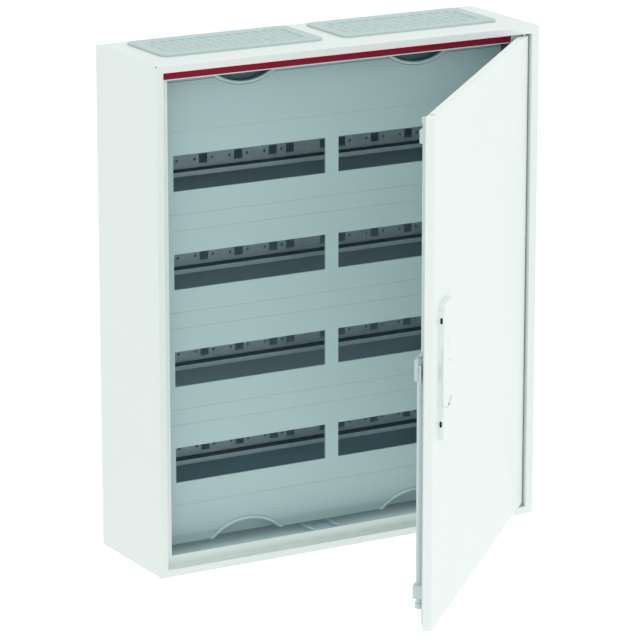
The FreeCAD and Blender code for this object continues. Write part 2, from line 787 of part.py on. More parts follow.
# ---------------------------------------------------------------- door
def make_door_panel():
    """Door pan with returns, an inward lip and holes for the handle and hinge pins."""
    pan = block("door_block", wide("door_x"), ("-depth", "lip_y"), wide("door_z"))
    hollow = block(
        "door_hollow", wide("(door_x - steel)"), ("skin_y", "lip_y - steel"), wide("(door_z - steel)")
    )
    mouth = block(
        "door_mouth", wide("(door_x - door_lip)"), ("lip_y - 2 * steel", "lip_y + 1"),
        wide("(door_z - door_lip)"),
    )
    spindle_hole = rod(
        "door_spindle_hole", "hub_r + lock_play", "3 * steel", "lock_x", "-depth - steel", "0", along="y"
    )
    pin_holes = rod(
        "door_pin_holes", "pin_r + lock_play", "2 * half_z", "hinge_x", "hinge_y", "-half_z"
    )
    tools = [hollow, mouth, spindle_hole, pin_holes]
    for end, sign in ENDS:
        tools.append(
            rod(
                "door_screw_hole_" + end, "screw_r + screw_play", "3 * steel",
                "lock_x", "-depth - steel", sign + "dimple_z", along="y",
            )
        )
    swung("door_panel", cut("door_pan", pan, *tools))


def make_door_seal():
    """Foam seal on the lip of the door."""
    outer_x = "(door_x - seal_in_x)"
    outer_z = "(door_z - seal_in_z)"
    y = ("lip_y", "lip_y + seal_thick")
    outer = block("seal_outer", wide(outer_x), y, wide(outer_z))
    inner = block(
        "seal_inner", wide("(%s - seal_wide)" % outer_x), y, wide("(%s - seal_wide)" % outer_z)
    )
    swung("door_seal", cut("seal_ring", outer, inner))


def make_hinge_block(end, sign):
    """Block in the door corner and the hinge pin that it holds."""
    name = end + "_hinge"
    z = ("door_z - steel - block_high", "door_z - steel")
    pin_z = "door_z - pin_tail"
    pin_long = "open_z + pin_reach - (door_z - pin_tail)"
    if sign == "-":
        z = ("-door_z + steel", "-door_z + steel + block_high")
        pin_z = "-open_z - pin_reach"
    x = ("door_x - steel - block_wide", "door_x - steel")
    solid = block(name + "_block_solid", x, ("skin_y", "lip_y - steel"), z)
    bore = rod(name + "_bore", "pin_r", "2 * half_z", "hinge_x", "hinge_y", "-half_z")
    swung(name + "_block", cut(name + "_block_cut", solid, bore))
    pin = rod(name + "_pin_rod", "pin_r", pin_long, "hinge_x", "hinge_y", pin_z)
    swung(name + "_pin", pin)


def lever_ends(name, play, start, length):
    """Round ends and hub of the lever as three solids, grown by a play all round."""
    right = "lock_x + lever_lap + " + play
    left = "lock_x - plate_wide / 2 - " + play
    depth = (start, start + " + " + length)
    solids = []
    for end, sign, radius in (("up", "+", "lever_up"), ("down", "-", "lever_down")):
        disc = rod(
            "%s_%s_disc" % (name, end), "%s + %s" % (radius, play), length, "lock_x", start, "0",
            along="y",
        )
        z = ("0", radius + " + 1") if sign == "+" else ("-%s - 1" % radius, "0")
        half = block("%s_%s_half" % (name, end), (left, right), depth, z)
        solids.append(common("%s_%s" % (name, end), disc, half))
    solids.append(rod(name + "_hub", "hub_r + " + play, length, "lock_x", start, "0", along="y"))
    return solids


def make_handle_plate():
    """Plate behind the handle lever, sunk where the lever lies and turns."""
    x = about("lock_x", "plate_wide")
    plate = block(
        "plate_solid", x, ("-depth - plate_thick", "-depth"), ("-plate_down", "plate_up")
    )
    rounded = doc.addObject("Part::Fillet", "plate_rounded")
    rounded.Base = plate
    doc.recompute()
    rounded.Edges = [
        (index, amount_of("plate_round"), amount_of("plate_round"))
        for index, edge in enumerate(plate.Shape.Edges, start=1)
        if abs(edge.tangentAt(edge.FirstParameter).y) > 0.99
    ]
    front = "-depth - plate_thick - 1"
    sunk = "plate_thick - plate_floor + 1"
    tools = lever_ends("sunk", "lever_gap", front, sunk)
    sweep = rod(
        "sweep_disc", "lever_down + lever_gap", sunk, "lock_x", front, "0", along="y"
    )
    room = block(
        "sweep_room", ("lock_x", "lock_x + lever_down + 1"), (front, front + " + " + sunk),
        ("-lever_down - 1", "lever_lap + lever_gap"),
    )
    tools.append(common("sweep", sweep, room))
    tools.append(
        rod(
            "plate_hub_hole", "hub_r + handle_fit", "plate_thick", "lock_x", "-depth - plate_thick",
            "0", along="y",
        )
    )
    tools.append(
        rod(
            "finger_scoop", "scoop_r", "plate_thick", "lock_x - plate_wide / 2 + scoop_deep - scoop_r",
            "-depth - plate_thick", "0", along="y",
        )
    )
    for side, hand in SIDES:
        for end, sign in ENDS:
            name = "release_%s_%s" % (end, side)
            start = "lock_x - plate_wide / 2 - 1"
            if hand == "+":
                start = "lock_x + plate_wide / 2 - dimple_deep"
            level = "-depth - dimple_out"
            middle = sign + "dimple_z"
            tools.append(
                block(
                    name, (start, start + " + dimple_deep + 1"), about(level, "dimple_wide"),
                    about(middle, "(dimple_high - dimple_wide)"),
                )
            )
            for tip, way in ENDS:
                tools.append(
                    rod(
                        name + "_" + tip, "dimple_wide / 2", "dimple_deep + 1", start, level,
                        "%s %s (dimple_high - dimple_wide) / 2" % (middle, way), along="x",
                    )
                )
    for end, sign in ENDS:
        tools.append(
            rod(
                "plate_screw_hole_" + end, "screw_r", "plate_thick - 1.5", "lock_x",
                "-depth - plate_thick + 1.5", sign + "dimple_z", along="y",
            )
        )
    swung("handle_plate", cut("plate_cut", rounded, *tools))


def make_handle_screws():
    """Screws through the door into the handle plate."""
    screws = []
    for end, sign in ENDS:
        name = "handle_screw_" + end
        z = sign + "dimple_z"
        head = rod(name + "_head", "screw_head_r", "screw_head", "lock_x", "skin_y", z, along="y")
        shank = rod(
            name + "_shank", "screw_r", "steel + plate_thick - 1.5", "lock_x",
            "-depth - plate_thick + 1.5", z, along="y",
        )
        screws.append(fuse(name, head, shank))
    swung("handle_screws", group("handle_screw_group", screws))


def make_lever():
    """Turning lever with its hub, the spindle and the lock hub on it."""
    grip = lever_ends("lever", "0", "-depth - plate_thick", "lever_thick")
    hub = rod(
        "lever_boss", "hub_r", "plate_thick", "lock_x", "-depth - plate_thick", "0", along="y"
    )
    swung("handle_lever", fuse("lever_body", *grip, hub))
    spindle = rod(
        "spindle_rod", "spindle_r", "case_back - 1.6", "lock_x", "-depth", "0", along="y"
    )
    hub_start = "-depth + rod_back - rod_r"
    ring = rod("lock_hub_ring", "pinion_r", "2 * rod_r - lock_play", "lock_x", hub_start, "0", along="y")
    bore = rod("lock_hub_bore", "spindle_r", "2 * rod_r", "lock_x", hub_start, "0", along="y")
    swung("spindle", spindle)
    swung("lock_hub", cut("lock_hub_cut", ring, bore))


def rod_place(sign):
    """Give the position across the door of the upper or lower rod."""
    return "lock_x %s rod_pair" % sign


def make_lock_case():
    """Lock case in the door, hollow for the hub, the rods and the side bolt."""
    solid = block(
        "case_solid", about("lock_x", "case_wide"), ("skin_y", "-depth + case_back"),
        about("0", "case_high"),
    )
    tools = [
        rod("case_spindle", "spindle_r + handle_fit", "case_back - 1.6 + 0.2", "lock_x", "-depth", "0", along="y"),
        rod(
            "case_hub", "pinion_r + lock_play", "2 * rod_r + lock_play", "lock_x",
            "-depth + rod_back - rod_r - lock_play", "0", along="y",
        ),
        block(
            "case_bolt", ("lock_x - case_wide", "lock_x + spindle_r"),
            ("-depth + bolt_front - lock_play", "-depth + bolt_front + bolt_thick + lock_play"),
            about("0", "(bolt_high + 2 * lock_play)"),
        ),
    ]
    for end, sign in ENDS:
        tools.append(
            rod(
                "case_rod_" + end, "rod_r + rod_fit", "case_high", rod_place(sign),
                "-depth + rod_back", "-case_high / 2",
            )
        )
    swung("lock_case", cut("case_cut", solid, *tools))


def make_lock_rod(end, sign):
    """Lock rod with its tip, and the guide that it slides in."""
    name = end + "_lock_rod"
    x = rod_place(sign)
    y = "-depth + rod_back"
    shank_z = "-rod_start" if sign == "+" else "-rod_z + tip_high"
    shank = rod(name + "_shank", "rod_r", "rod_z - tip_high + rod_start", x, y, shank_z)
    tip_z = "rod_z - tip_high" if sign == "+" else "-rod_z"
    tip = rod(name + "_tip", "tip_r", "tip_high", x, y, tip_z)
    swung(name, fuse(name + "_body", shank, tip))
    low = "rod_z - guide_in - guide_high" if sign == "+" else "-rod_z + guide_in"
    guide = block(
        end + "_guide_solid", about(x, "guide_wide"), ("skin_y", "-depth + guide_back"),
        (low, low + " + guide_high"),
    )
    bore = rod(end + "_guide_bore", "rod_r + rod_fit", "guide_high", x, y, low)
    swung(end + "_rod_guide", cut(end + "_guide_cut", guide, bore))


def make_side_bolt():
    """Flat bolt that slides out behind the seat flange."""
    x = ("-seat_x + bolt_end", "lock_x - bolt_tail")
    y = ("-depth + bolt_front", "-depth + bolt_front + bolt_thick")
    swung("side_bolt", block("side_bolt_plate", x, y, about("0", "bolt_high")))


# ---------------------------------------------------------------- assembly
make_back_panel()
for side, hand in SIDES:
    make_side_wall(side, hand)
make_end_wall("top_wall", "+")
make_end_wall("bottom_wall", "-")
make_trim_strip()
for side, hand in SIDES:
    make_cable_flange("top_flange_" + side, hand, "+")
    make_cable_flange("bottom_flange_" + side, hand, "-")
    make_carrier(side, hand)
    make_side_bar(side, hand)
for row in range(4):
    make_rail(row)
    make_row_cover(row)
for row in range(3):
    make_bridge(row)
make_rail_screws()
make_pillars()
make_terminals("neutral", "-")
make_terminals("earth", "+")
make_earth_stud()
make_door_panel()
make_door_seal()
make_handle_plate()
make_handle_screws()
make_lever()
make_lock_case()
make_side_bolt()
for end, sign in ENDS:
    make_end_cover(end, sign)
    make_hinge_bush(end, sign)
    make_hinge_block(end, sign)
    make_lock_rod(end, sign)
doc.recompute()

# ---------------------------------------------------------------- checks and export
for item in doc.Objects:
    if "Invalid" in item.State or "Error" in item.State:
        raise RuntimeError("%s did not rebuild: %s" % (item.Name, item.State))
for node, item in PARTS.items():
    if item.Shape.isNull() or not item.Shape.isValid() or not item.Shape.Solids:
        raise RuntimeError(node + " has no valid solid")
for node, item in sorted(PARTS.items()):
    item.Shape.exportStep("parts/%s.step" % node)
    box = item.Shape.BoundBox
    print(
        "%-20s solids %2d  x %8.2f %8.2f  y %8.2f %8.2f  z %8.2f %8.2f" % (
            node, len(item.Shape.Solids), box.XMin, box.XMax, box.YMin, box.YMax, box.ZMin, box.ZMax,
        )
    )
print(len(PARTS), "sub-parts")
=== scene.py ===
"""Wall-hung switchboard cabinet with its door open: meshes, finishes, light and camera."""

import json
import logging
import math
from dataclasses import dataclass, field
from enum import Enum
from typing import Callable, Sequence

import bmesh
import bpy
import numpy as np
from mathutils import Matrix, Vector


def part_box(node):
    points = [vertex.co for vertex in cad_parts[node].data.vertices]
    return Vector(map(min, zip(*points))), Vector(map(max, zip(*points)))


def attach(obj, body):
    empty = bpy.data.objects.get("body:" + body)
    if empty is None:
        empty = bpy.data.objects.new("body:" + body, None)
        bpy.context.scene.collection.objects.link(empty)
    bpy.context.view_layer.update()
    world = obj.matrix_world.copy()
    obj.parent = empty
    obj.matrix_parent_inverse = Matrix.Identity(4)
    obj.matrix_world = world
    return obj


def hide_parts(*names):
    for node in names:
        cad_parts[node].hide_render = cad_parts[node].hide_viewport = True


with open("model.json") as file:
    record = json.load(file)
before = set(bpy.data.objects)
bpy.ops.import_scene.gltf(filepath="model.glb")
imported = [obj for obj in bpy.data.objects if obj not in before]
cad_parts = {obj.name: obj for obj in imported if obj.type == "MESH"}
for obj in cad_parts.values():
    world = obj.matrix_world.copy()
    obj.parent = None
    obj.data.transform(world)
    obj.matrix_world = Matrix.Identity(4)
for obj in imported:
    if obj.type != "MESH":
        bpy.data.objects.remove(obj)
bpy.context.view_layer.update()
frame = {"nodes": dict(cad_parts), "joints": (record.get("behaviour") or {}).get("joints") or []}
log = logging.getLogger("switchboard")

BMesh = bmesh.types.BMesh
Node = bpy.types.Node
Object = bpy.types.Object
Tree = bpy.types.NodeTree
Place = Callable[[float, float, float], Vector]
Chooser = Callable[[Vector, Vector], bool]
Socket = bpy.types.NodeSocket
Value = float | Socket

MM = 0.001
ARC_STEPS = 4
SHARP_EDGE = math.radians(32)


class Body(Enum):
    """Moving bodies of the cabinet."""

    CABINET = "cabinet"
    DOOR = "door"
    HANDLE = "handle"
    UPPER_ROD = "upper_rod"
    LOWER_ROD = "lower_rod"
    BOLT = "bolt"


class Skin(Enum):
    """Kinds of surface detail."""

    POWDER = "powder_skin"
    MOULDED = "moulded_skin"
    ROLLED = "rolled_skin"
    FOAM = "foam_skin"


# ---------------------------------------------------------------- node wiring
def wire(tree: Tree, kind: str, inputs: dict | None = None, **settings: object) -> Node:
    """Adds a node, sets its options and fills or links its inputs.

    Args:
        tree: node tree that gets the node.
        kind: Blender's name for the node type.
        inputs: values or output sockets by input name or number.
        settings: node properties.

    Returns:
        The new node.
    """
    node = tree.nodes.new(kind)
    for key, value in settings.items():
        setattr(node, key, value)
    for key, value in (inputs or {}).items():
        socket = node.inputs[key]
        if isinstance(value, bpy.types.NodeSocket):
            tree.links.new(value, socket)
        else:
            socket.default_value = value
    return node


def math_node(tree: Tree, operation: str, first: Value, second: Value = 0.0) -> Socket:
    """Adds one sum to a tree.

    Args:
        tree: node tree of shaders or geometry.
        operation: name of the sum.
        first: value or socket.
        second: value or socket.

    Returns:
        The socket with the result.
    """
    return wire(tree, "ShaderNodeMath", {0: first, 1: second}, operation=operation).outputs[0]


def open_group(name: str, inputs: Sequence[tuple], outputs: Sequence[tuple], kind: str) -> tuple:
    """Starts a node group with named sockets.

    Args:
        name: name of the group.
        inputs: name, socket type and default of each input.
        outputs: name and socket type of each output.
        kind: type of the tree.

    Returns:
        The tree, its input node and its output node.
    """
    tree = bpy.data.node_groups.new(name, kind)
    for label, socket_type, default in inputs:
        socket = tree.interface.new_socket(label, in_out="INPUT", socket_type=socket_type)
        if default is not None:
            socket.default_value = default
    for label, socket_type in outputs:
        tree.interface.new_socket(label, in_out="OUTPUT", socket_type=socket_type)
    return tree, tree.nodes.new("NodeGroupInput"), tree.nodes.new("NodeGroupOutput")


# ---------------------------------------------------------------- finishes
class SkinGroups:
    """Shader groups for surface detail, each built once."""

    INPUTS = (
        ("Coordinate", "NodeSocketVector", None),
        ("Colour", "NodeSocketColor", (0.8, 0.8, 0.8, 1)),
        ("Tint", "NodeSocketColor", (0.7, 0.7, 0.7, 1)),
        ("Roughness", "NodeSocketFloat", 0.5),
        ("Scale", "NodeSocketFloat", 1.0),
    )
    OUTPUTS = (
        ("Colour", "NodeSocketColor"),
        ("Roughness", "NodeSocketFloat"),
        ("Height", "NodeSocketFloat"),
    )

    def __init__(self) -> None:
        """Starts with no group built."""
        self._built: dict[str, Tree] = {}

    def skin(self, skin: Skin) -> Tree:
        """Gives the group of one kind of surface.

        Args:
            skin: kind of surface.

        Returns:
            The shader group.
        """
        if skin.value not in self._built:
            tree, given, result = open_group(skin.value, self.INPUTS, self.OUTPUTS, "ShaderNodeTree")
            build = {
                Skin.POWDER: self._powder,
                Skin.MOULDED: self._moulded,
                Skin.ROLLED: self._rolled,
                Skin.FOAM: self._foam,
            }[skin]
            build(tree, given, result)
            self._built[skin.value] = tree
        return self._built[skin.value]

    def dust(self) -> Tree:
        """Gives the group that lays thin dust on upward faces.

        Returns:
            The shader group.
        """
        if "dust_film" not in self._built:
            inputs = (
                ("Coordinate", "NodeSocketVector", None),
                ("Colour", "NodeSocketColor", (0.8, 0.8, 0.8, 1)),
                ("Dust", "NodeSocketColor", (0.7, 0.7, 0.68, 1)),
                ("Amount", "NodeSocketFloat", 0.1),
            )
            tree, given, result = open_group(
                "dust_film", inputs, (("Colour", "NodeSocketColor"),), "ShaderNodeTree"
            )
            up = wire(
                tree, "ShaderNodeSeparateXYZ",
                {0: tree.nodes.new("ShaderNodeNewGeometry").outputs["Normal"]},
            )
            facing = math_node(tree, "POWER", math_node(tree, "MAXIMUM", up.outputs[2], 0.0), 2.0)
            cloud = self._noise(tree, given.outputs["Coordinate"], 38.0, 4.0)
            share = math_node(
                tree, "MULTIPLY", math_node(tree, "MULTIPLY", facing, cloud), given.outputs["Amount"],
            )
            self._finish_colour(tree, result, given.outputs["Colour"], given.outputs["Dust"], share)
            self._built["dust_film"] = tree
        return self._built["dust_film"]

    @staticmethod
    def _noise(tree: Tree, place: Socket, scale: Value, detail: float) -> Socket:
        """Adds a noise texture and gives its value."""
        node = wire(tree, "ShaderNodeTexNoise", {"Vector": place, "Scale": scale, "Detail": detail})
        return node.outputs["Fac"]

    @staticmethod
    def _finish_colour(tree: Tree, result: Node, first: Socket, second: Socket, share: Socket) -> None:
        """Mixes two colours by a share into the group's colour.

        Args:
            tree: the group's tree.
            result: the group's output node.
            first: colour at a share of 0.
            second: colour at a share of 1.
            share: the share.
        """
        mix = wire(tree, "ShaderNodeMix", {"Factor": share, 6: first, 7: second}, data_type="RGBA")
        tree.links.new(mix.outputs[2], result.inputs["Colour"])

    def _finish_values(
        self, tree: Tree, given: Node, result: Node, rough_share: Socket, rough_span: float, height: Socket,
    ) -> None:
        """Sets roughness about its given value, and the height.

        Args:
            tree: the group's tree.
            given: the group's input node.
            result: the group's output node.
            rough_share: pattern that moves the roughness.
            rough_span: how far the pattern moves it in all.
            height: height of the surface detail.
        """
        swing = math_node(tree, "MULTIPLY", math_node(tree, "SUBTRACT", rough_share, 0.5), rough_span)
        rough = math_node(tree, "ADD", given.outputs["Roughness"], swing)
        tree.links.new(rough, result.inputs["Roughness"])
        tree.links.new(height, result.inputs["Height"])

    def _powder(self, tree: Tree, given: Node, result: Node) -> None:
        """Powder coat: soft orange peel with faint cloudy tone.

        Args:
            tree: the group's tree.
            given: the group's input node.
            result: the group's output node.
        """
        place = given.outputs["Coordinate"]
        cloud = self._noise(tree, place, 7.0, 3.0)
        peel = self._noise(tree, place, math_node(tree, "MULTIPLY", given.outputs["Scale"], 520.0), 1.5)
        fine = self._noise(tree, place, math_node(tree, "MULTIPLY", given.outputs["Scale"], 1900.0), 2.0)
        height = math_node(tree, "ADD", peel, math_node(tree, "MULTIPLY", fine, 0.35))
        self._finish_colour(tree, result, given.outputs["Colour"], given.outputs["Tint"], cloud)
        self._finish_values(tree, given, result, peel, 0.14, height)

    def _moulded(self, tree: Tree, given: Node, result: Node) -> None:
        """Moulded plastic: fine eroded grain and long flow tones.

        Args:
            tree: the group's tree.
            given: the group's input node.
            result: the group's output node.
        """
        place = given.outputs["Coordinate"]
        flow = wire(tree, "ShaderNodeMapping", {"Vector": place, "Scale": (1.2, 6.0, 6.0)})
        tone = self._noise(tree, flow.outputs[0], 3.0, 3.0)
        size = given.outputs["Scale"]
        cells = wire(
            tree, "ShaderNodeTexVoronoi",
            {"Vector": place, "Scale": math_node(tree, "MULTIPLY", size, 1500.0)}, feature="SMOOTH_F1",
        )
        grain = self._noise(tree, place, math_node(tree, "MULTIPLY", size, 2600.0), 3.0)
        height = math_node(tree, "ADD", cells.outputs["Distance"], grain)
        self._finish_colour(tree, result, given.outputs["Colour"], given.outputs["Tint"], tone)
        self._finish_values(tree, given, result, grain, 0.18, height)

    def _rolled(self, tree: Tree, given: Node, result: Node) -> None:
        """Rolled zinc-plated steel: long streaks and cloudy crystals.

        Args:
            tree: the group's tree.
            given: the group's input node.
            result: the group's output node.
        """
        place = given.outputs["Coordinate"]
        drawn = wire(tree, "ShaderNodeMapping", {"Vector": place, "Scale": (0.05, 1.0, 1.0)})
        size = given.outputs["Scale"]
        streak = self._noise(tree, drawn.outputs[0], math_node(tree, "MULTIPLY", size, 900.0), 4.0)
        crystal = wire(
            tree, "ShaderNodeTexVoronoi",
            {"Vector": place, "Scale": math_node(tree, "MULTIPLY", size, 160.0)}, feature="F1",
        )
        tone = wire(tree, "ShaderNodeSeparateColor", {0: crystal.outputs["Color"]}).outputs[0]
        blend = math_node(
            tree, "ADD", math_node(tree, "MULTIPLY", tone, 0.45), math_node(tree, "MULTIPLY", streak, 0.55),
        )
        self._finish_colour(tree, result, given.outputs["Colour"], given.outputs["Tint"], blend)
        self._finish_values(tree, given, result, blend, 0.3, streak)

    def _foam(self, tree: Tree, given: Node, result: Node) -> None:
        """Foam and rubber: small open cells with darker pits.

        Args:
            tree: the group's tree.
            given: the group's input node.
            result: the group's output node.
        """
        place = given.outputs["Coordinate"]
        cells = wire(
            tree, "ShaderNodeTexVoronoi",
            {"Vector": place, "Scale": math_node(tree, "MULTIPLY", given.outputs["Scale"], 1100.0)},
            feature="F1",
        )
        pit = math_node(tree, "MINIMUM", math_node(tree, "MULTIPLY", cells.outputs["Distance"], 1.6), 1.0)
        self._finish_colour(tree, result, given.outputs["Tint"], given.outputs["Colour"], pit)
        self._finish_values(tree, given, result, pit, 0.1, pit)


@dataclass(frozen=True)
class Finish:
    """One surface finish of the cabinet."""

    name: str
    slot: str
    skin: Skin
    colour: tuple[float, float, float]
    tint: tuple[float, float, float]
    roughness: float = 0.45
    metallic: float = 0.0
    scale: float = 1.0
    relief: float = 0.15
    relief_depth: float = 0.00004
    specular: float = 0.5
    dust: float = 0.0

    def material(self, groups: SkinGroups) -> bpy.types.Material:
        """Builds the finish as a material.

        Args:
            groups: shared shader groups.

        Returns:
            The material.
        """
        material = bpy.data.materials.new(self.name)
        material.use_nodes = True
        tree = material.node_tree
        shader = tree.nodes["Principled BSDF"]
        place = wire(tree, "ShaderNodeTexCoord").outputs["Object"]
        skin = wire(tree, "ShaderNodeGroup", node_tree=groups.skin(self.skin))
        tree.links.new(place, skin.inputs["Coordinate"])
        skin.inputs["Colour"].default_value = (*self.colour, 1)
        skin.inputs["Tint"].default_value = (*self.tint, 1)
        skin.inputs["Roughness"].default_value = self.roughness
        skin.inputs["Scale"].default_value = self.scale
        colour = skin.outputs["Colour"]
        if self.dust > 0:
            dust = wire(tree, "ShaderNodeGroup", node_tree=groups.dust())
            tree.links.new(place, dust.inputs["Coordinate"])
            tree.links.new(colour, dust.inputs["Colour"])
            dust.inputs["Amount"].default_value = self.dust
            colour = dust.outputs["Colour"]
        tree.links.new(colour, shader.inputs["Base Color"])
        tree.links.new(skin.outputs["Roughness"], shader.inputs["Roughness"])
        shader.inputs["Metallic"].default_value = self.metallic
        shader.inputs["Specular IOR Level"].default_value = self.specular
        bump = wire(
            tree, "ShaderNodeBump",
            {"Height": skin.outputs["Height"], "Strength": self.relief, "Distance": self.relief_depth},
        )
        tree.links.new(bump.outputs[0], shader.inputs["Normal"])
        return material


SHEET_WHITE = Finish(
    "powder_coat_body", "white_sheet", Skin.POWDER, (0.80, 0.865, 0.835), (0.775, 0.845, 0.815), 0.42,
    dust=0.05,
)
DOOR_WHITE = Finish(
    "powder_coat_door", "white_door", Skin.POWDER, (0.83, 0.89, 0.865), (0.805, 0.87, 0.845), 0.40,
)
TRIM_RED = Finish(
    "trim_red", "red_trim", Skin.MOULDED, (0.31, 0.002, 0.026), (0.27, 0.001, 0.021), 0.5, specular=0.2,
)
FLANGE_GREY = Finish(
    "flange_grey", "flange_plastic", Skin.MOULDED, (0.50, 0.62, 0.61), (0.47, 0.59, 0.58), 0.55, dust=0.15,
)
MEMBRANE_GREY = Finish(
    "membrane_grey", "membrane_rubber", Skin.FOAM, (0.50, 0.62, 0.61), (0.42, 0.54, 0.53), 0.7, scale=1.4,
    relief=0.1, dust=0.2,
)
RAIL_ZINC = Finish("rail_zinc", "rail_zinc", Skin.ROLLED, (0.47, 0.60, 0.65), (0.40, 0.52, 0.57), 0.45, 0.3)
CARRIER_ZINC = Finish(
    "carrier_zinc", "carrier_zinc", Skin.ROLLED, (0.36, 0.42, 0.44), (0.28, 0.33, 0.35), 0.45, 0.8,
)
COVER_GREY = Finish(
    "cover_grey", "cover_grey", Skin.MOULDED, (0.475, 0.63, 0.64), (0.455, 0.61, 0.62), 0.48, relief=0.1,
)
# Painted shade: the rear panel's inward face is dark blue-grey to stand in for the shade deep inside the
# cabinet behind the slots.
REAR_INNER_PAINTED_SHADE = Finish(
    "rear_inner_painted_shade", "white_sheet", Skin.POWDER, (0.27, 0.39, 0.455), (0.25, 0.365, 0.43), 0.6,
)
# Painted shade: grey on the inner faces of the walls behind the seat stands in for the shade inside the body.
BODY_INNER_PAINTED_SHADE = Finish(
    "body_inner_painted_shade", "white_sheet", Skin.POWDER, (0.44, 0.575, 0.61), (0.42, 0.55, 0.585), 0.5,
)
# Painted shade: the side faces of the gap round the lever are darkened for the shadow line in the gap.
LEVER_GAP_PAINTED_SHADE = Finish(
    "lever_gap_painted_shade", "handle_white", Skin.MOULDED, (0.25, 0.29, 0.285), (0.22, 0.26, 0.255), 0.7,
)
# Painted shade: the white plate's faces inside the release slots are near black for the shade in the slots.
RELEASE_SLOT_PAINTED_SHADE = Finish(
    "release_slot_painted_shade", "handle_white", Skin.MOULDED, (0.02, 0.03, 0.03), (0.015, 0.022, 0.022), 0.7,
)
LOCK_SHADE = Finish(
    "lock_housing_grey", "lock_plastic", Skin.MOULDED, (0.42, 0.54, 0.55), (0.39, 0.51, 0.52), 0.55,
)
ROD_GREY = Finish("lock_rod_grey", "lock_steel", Skin.ROLLED, (0.66, 0.76, 0.76), (0.58, 0.68, 0.68), 0.5)
# Painted shade: the zinc rail's upward faces inside the channel are darkened for the shadow in the channel.
RAIL_CHANNEL_PAINTED_SHADE = Finish(
    "rail_channel_painted_shade", "rail_zinc", Skin.ROLLED, (0.07, 0.115, 0.135), (0.055, 0.095, 0.115), 0.7,
)
# Painted highlight: a lighter copy of the rail zinc for the bright line along the lower lip's fold.
RAIL_LIP_PAINTED_HIGHLIGHT = Finish(
    "rail_lip_painted_highlight", "rail_zinc", Skin.ROLLED, (0.50, 0.63, 0.67), (0.44, 0.56, 0.60), 0.45, 0.2,
)
# Painted highlight: a lighter copy of the cover grey on the raised recess rims, for the light they catch.
RECESS_RIM_PAINTED_HIGHLIGHT = Finish(
    "recess_rim_painted_highlight", "cover_grey", Skin.MOULDED, (0.56, 0.71, 0.72), (0.53, 0.68, 0.69), 0.45, relief=0.1,
)
# Painted shade: dark grey inside the upper finger recesses for the shade under the top of the cabinet.
RECESS_HOLLOW_PAINTED_SHADE = Finish(
    "recess_inner_painted_shade", "cover_grey", Skin.MOULDED, (0.15, 0.24, 0.27), (0.13, 0.21, 0.24), 0.6,
)
SUPPORT_GREY = Finish(
    "support_grey", "support_grey", Skin.MOULDED, (0.30, 0.38, 0.39), (0.27, 0.35, 0.36), 0.55,
)
SEAL_FOAM = Finish(
    "seal_foam", "seal_foam", Skin.FOAM, (0.62, 0.73, 0.73), (0.48, 0.59, 0.59), 0.85, relief=0.5,
)
HANDLE_WHITE = Finish(
    "handle_white", "handle_white", Skin.MOULDED, (0.82, 0.885, 0.86), (0.80, 0.865, 0.84), 0.36,
    relief=0.08,
)
BRASS = Finish(
    "terminal_brass", "terminal_brass", Skin.ROLLED, (0.72, 0.50, 0.20), (0.62, 0.42, 0.16), 0.32, 1.0,
)
HOLDER = Finish("holder_plastic", "holder_plastic", Skin.MOULDED, (0.10, 0.22, 0.42), (0.08, 0.19, 0.38), 0.5)
BUSH = Finish("bush_plastic", "bush_plastic", Skin.MOULDED, (0.30, 0.33, 0.33), (0.26, 0.29, 0.29), 0.45)
LOCK_GREY = Finish("lock_plastic", "lock_plastic", Skin.MOULDED, (0.66, 0.76, 0.75), (0.62, 0.72, 0.71), 0.5)
LOCK_STEEL = Finish(
    "lock_steel", "lock_steel", Skin.ROLLED, (0.58, 0.62, 0.63), (0.48, 0.52, 0.53), 0.33, 0.9,
)
FASTENER = Finish(
    "fastener_steel", "fastener_steel", Skin.ROLLED, (0.55, 0.57, 0.58), (0.46, 0.48, 0.49), 0.3, 1.0, 2.0,
)


# ---------------------------------------------------------------- mesh tools
def eased_chain(
    points: Sequence[Sequence[float]], radii: Sequence[float], closed: bool, steps: int = ARC_STEPS,
) -> list[np.ndarray]:
    """Turns the corners of a chain of points into arcs.

    Args:
        points: corners with any number of coordinates.
        radii: arc radius at each corner, 0 to keep it sharp.
        closed: whether the chain ends where it starts.
        steps: straight runs in one arc.

    Returns:
        The points of the eased chain.
    """
    corners = [np.array(point, float) for point in points]
    chain: list[np.ndarray] = []
    for index, point in enumerate(corners):
        if radii[index] <= 0 or (not closed and index in (0, len(corners) - 1)):
            chain.append(point)
            continue
        back = corners[index - 1] - point
        ahead = corners[(index + 1) % len(corners)] - point
        room = 0.45 * min(np.linalg.norm(back), np.linalg.norm(ahead))
        back, ahead = back / np.linalg.norm(back), ahead / np.linalg.norm(ahead)
        angle = math.acos(max(-1.0, min(1.0, float(back @ ahead))))
        reach = min(radii[index] / math.tan(angle / 2), room)
        radius = reach * math.tan(angle / 2)
        middle = back + ahead
        centre = point + middle / np.linalg.norm(middle) * (radius / math.sin(angle / 2))
        first, last = point + back * reach - centre, point + ahead * reach - centre
        turn = math.pi - angle
        for step in range(steps + 1):
            share = step / steps
            chain.append(
                centre
                + (first * math.sin((1 - share) * turn) + last * math.sin(share * turn)) / math.sin(turn)
            )
    return chain


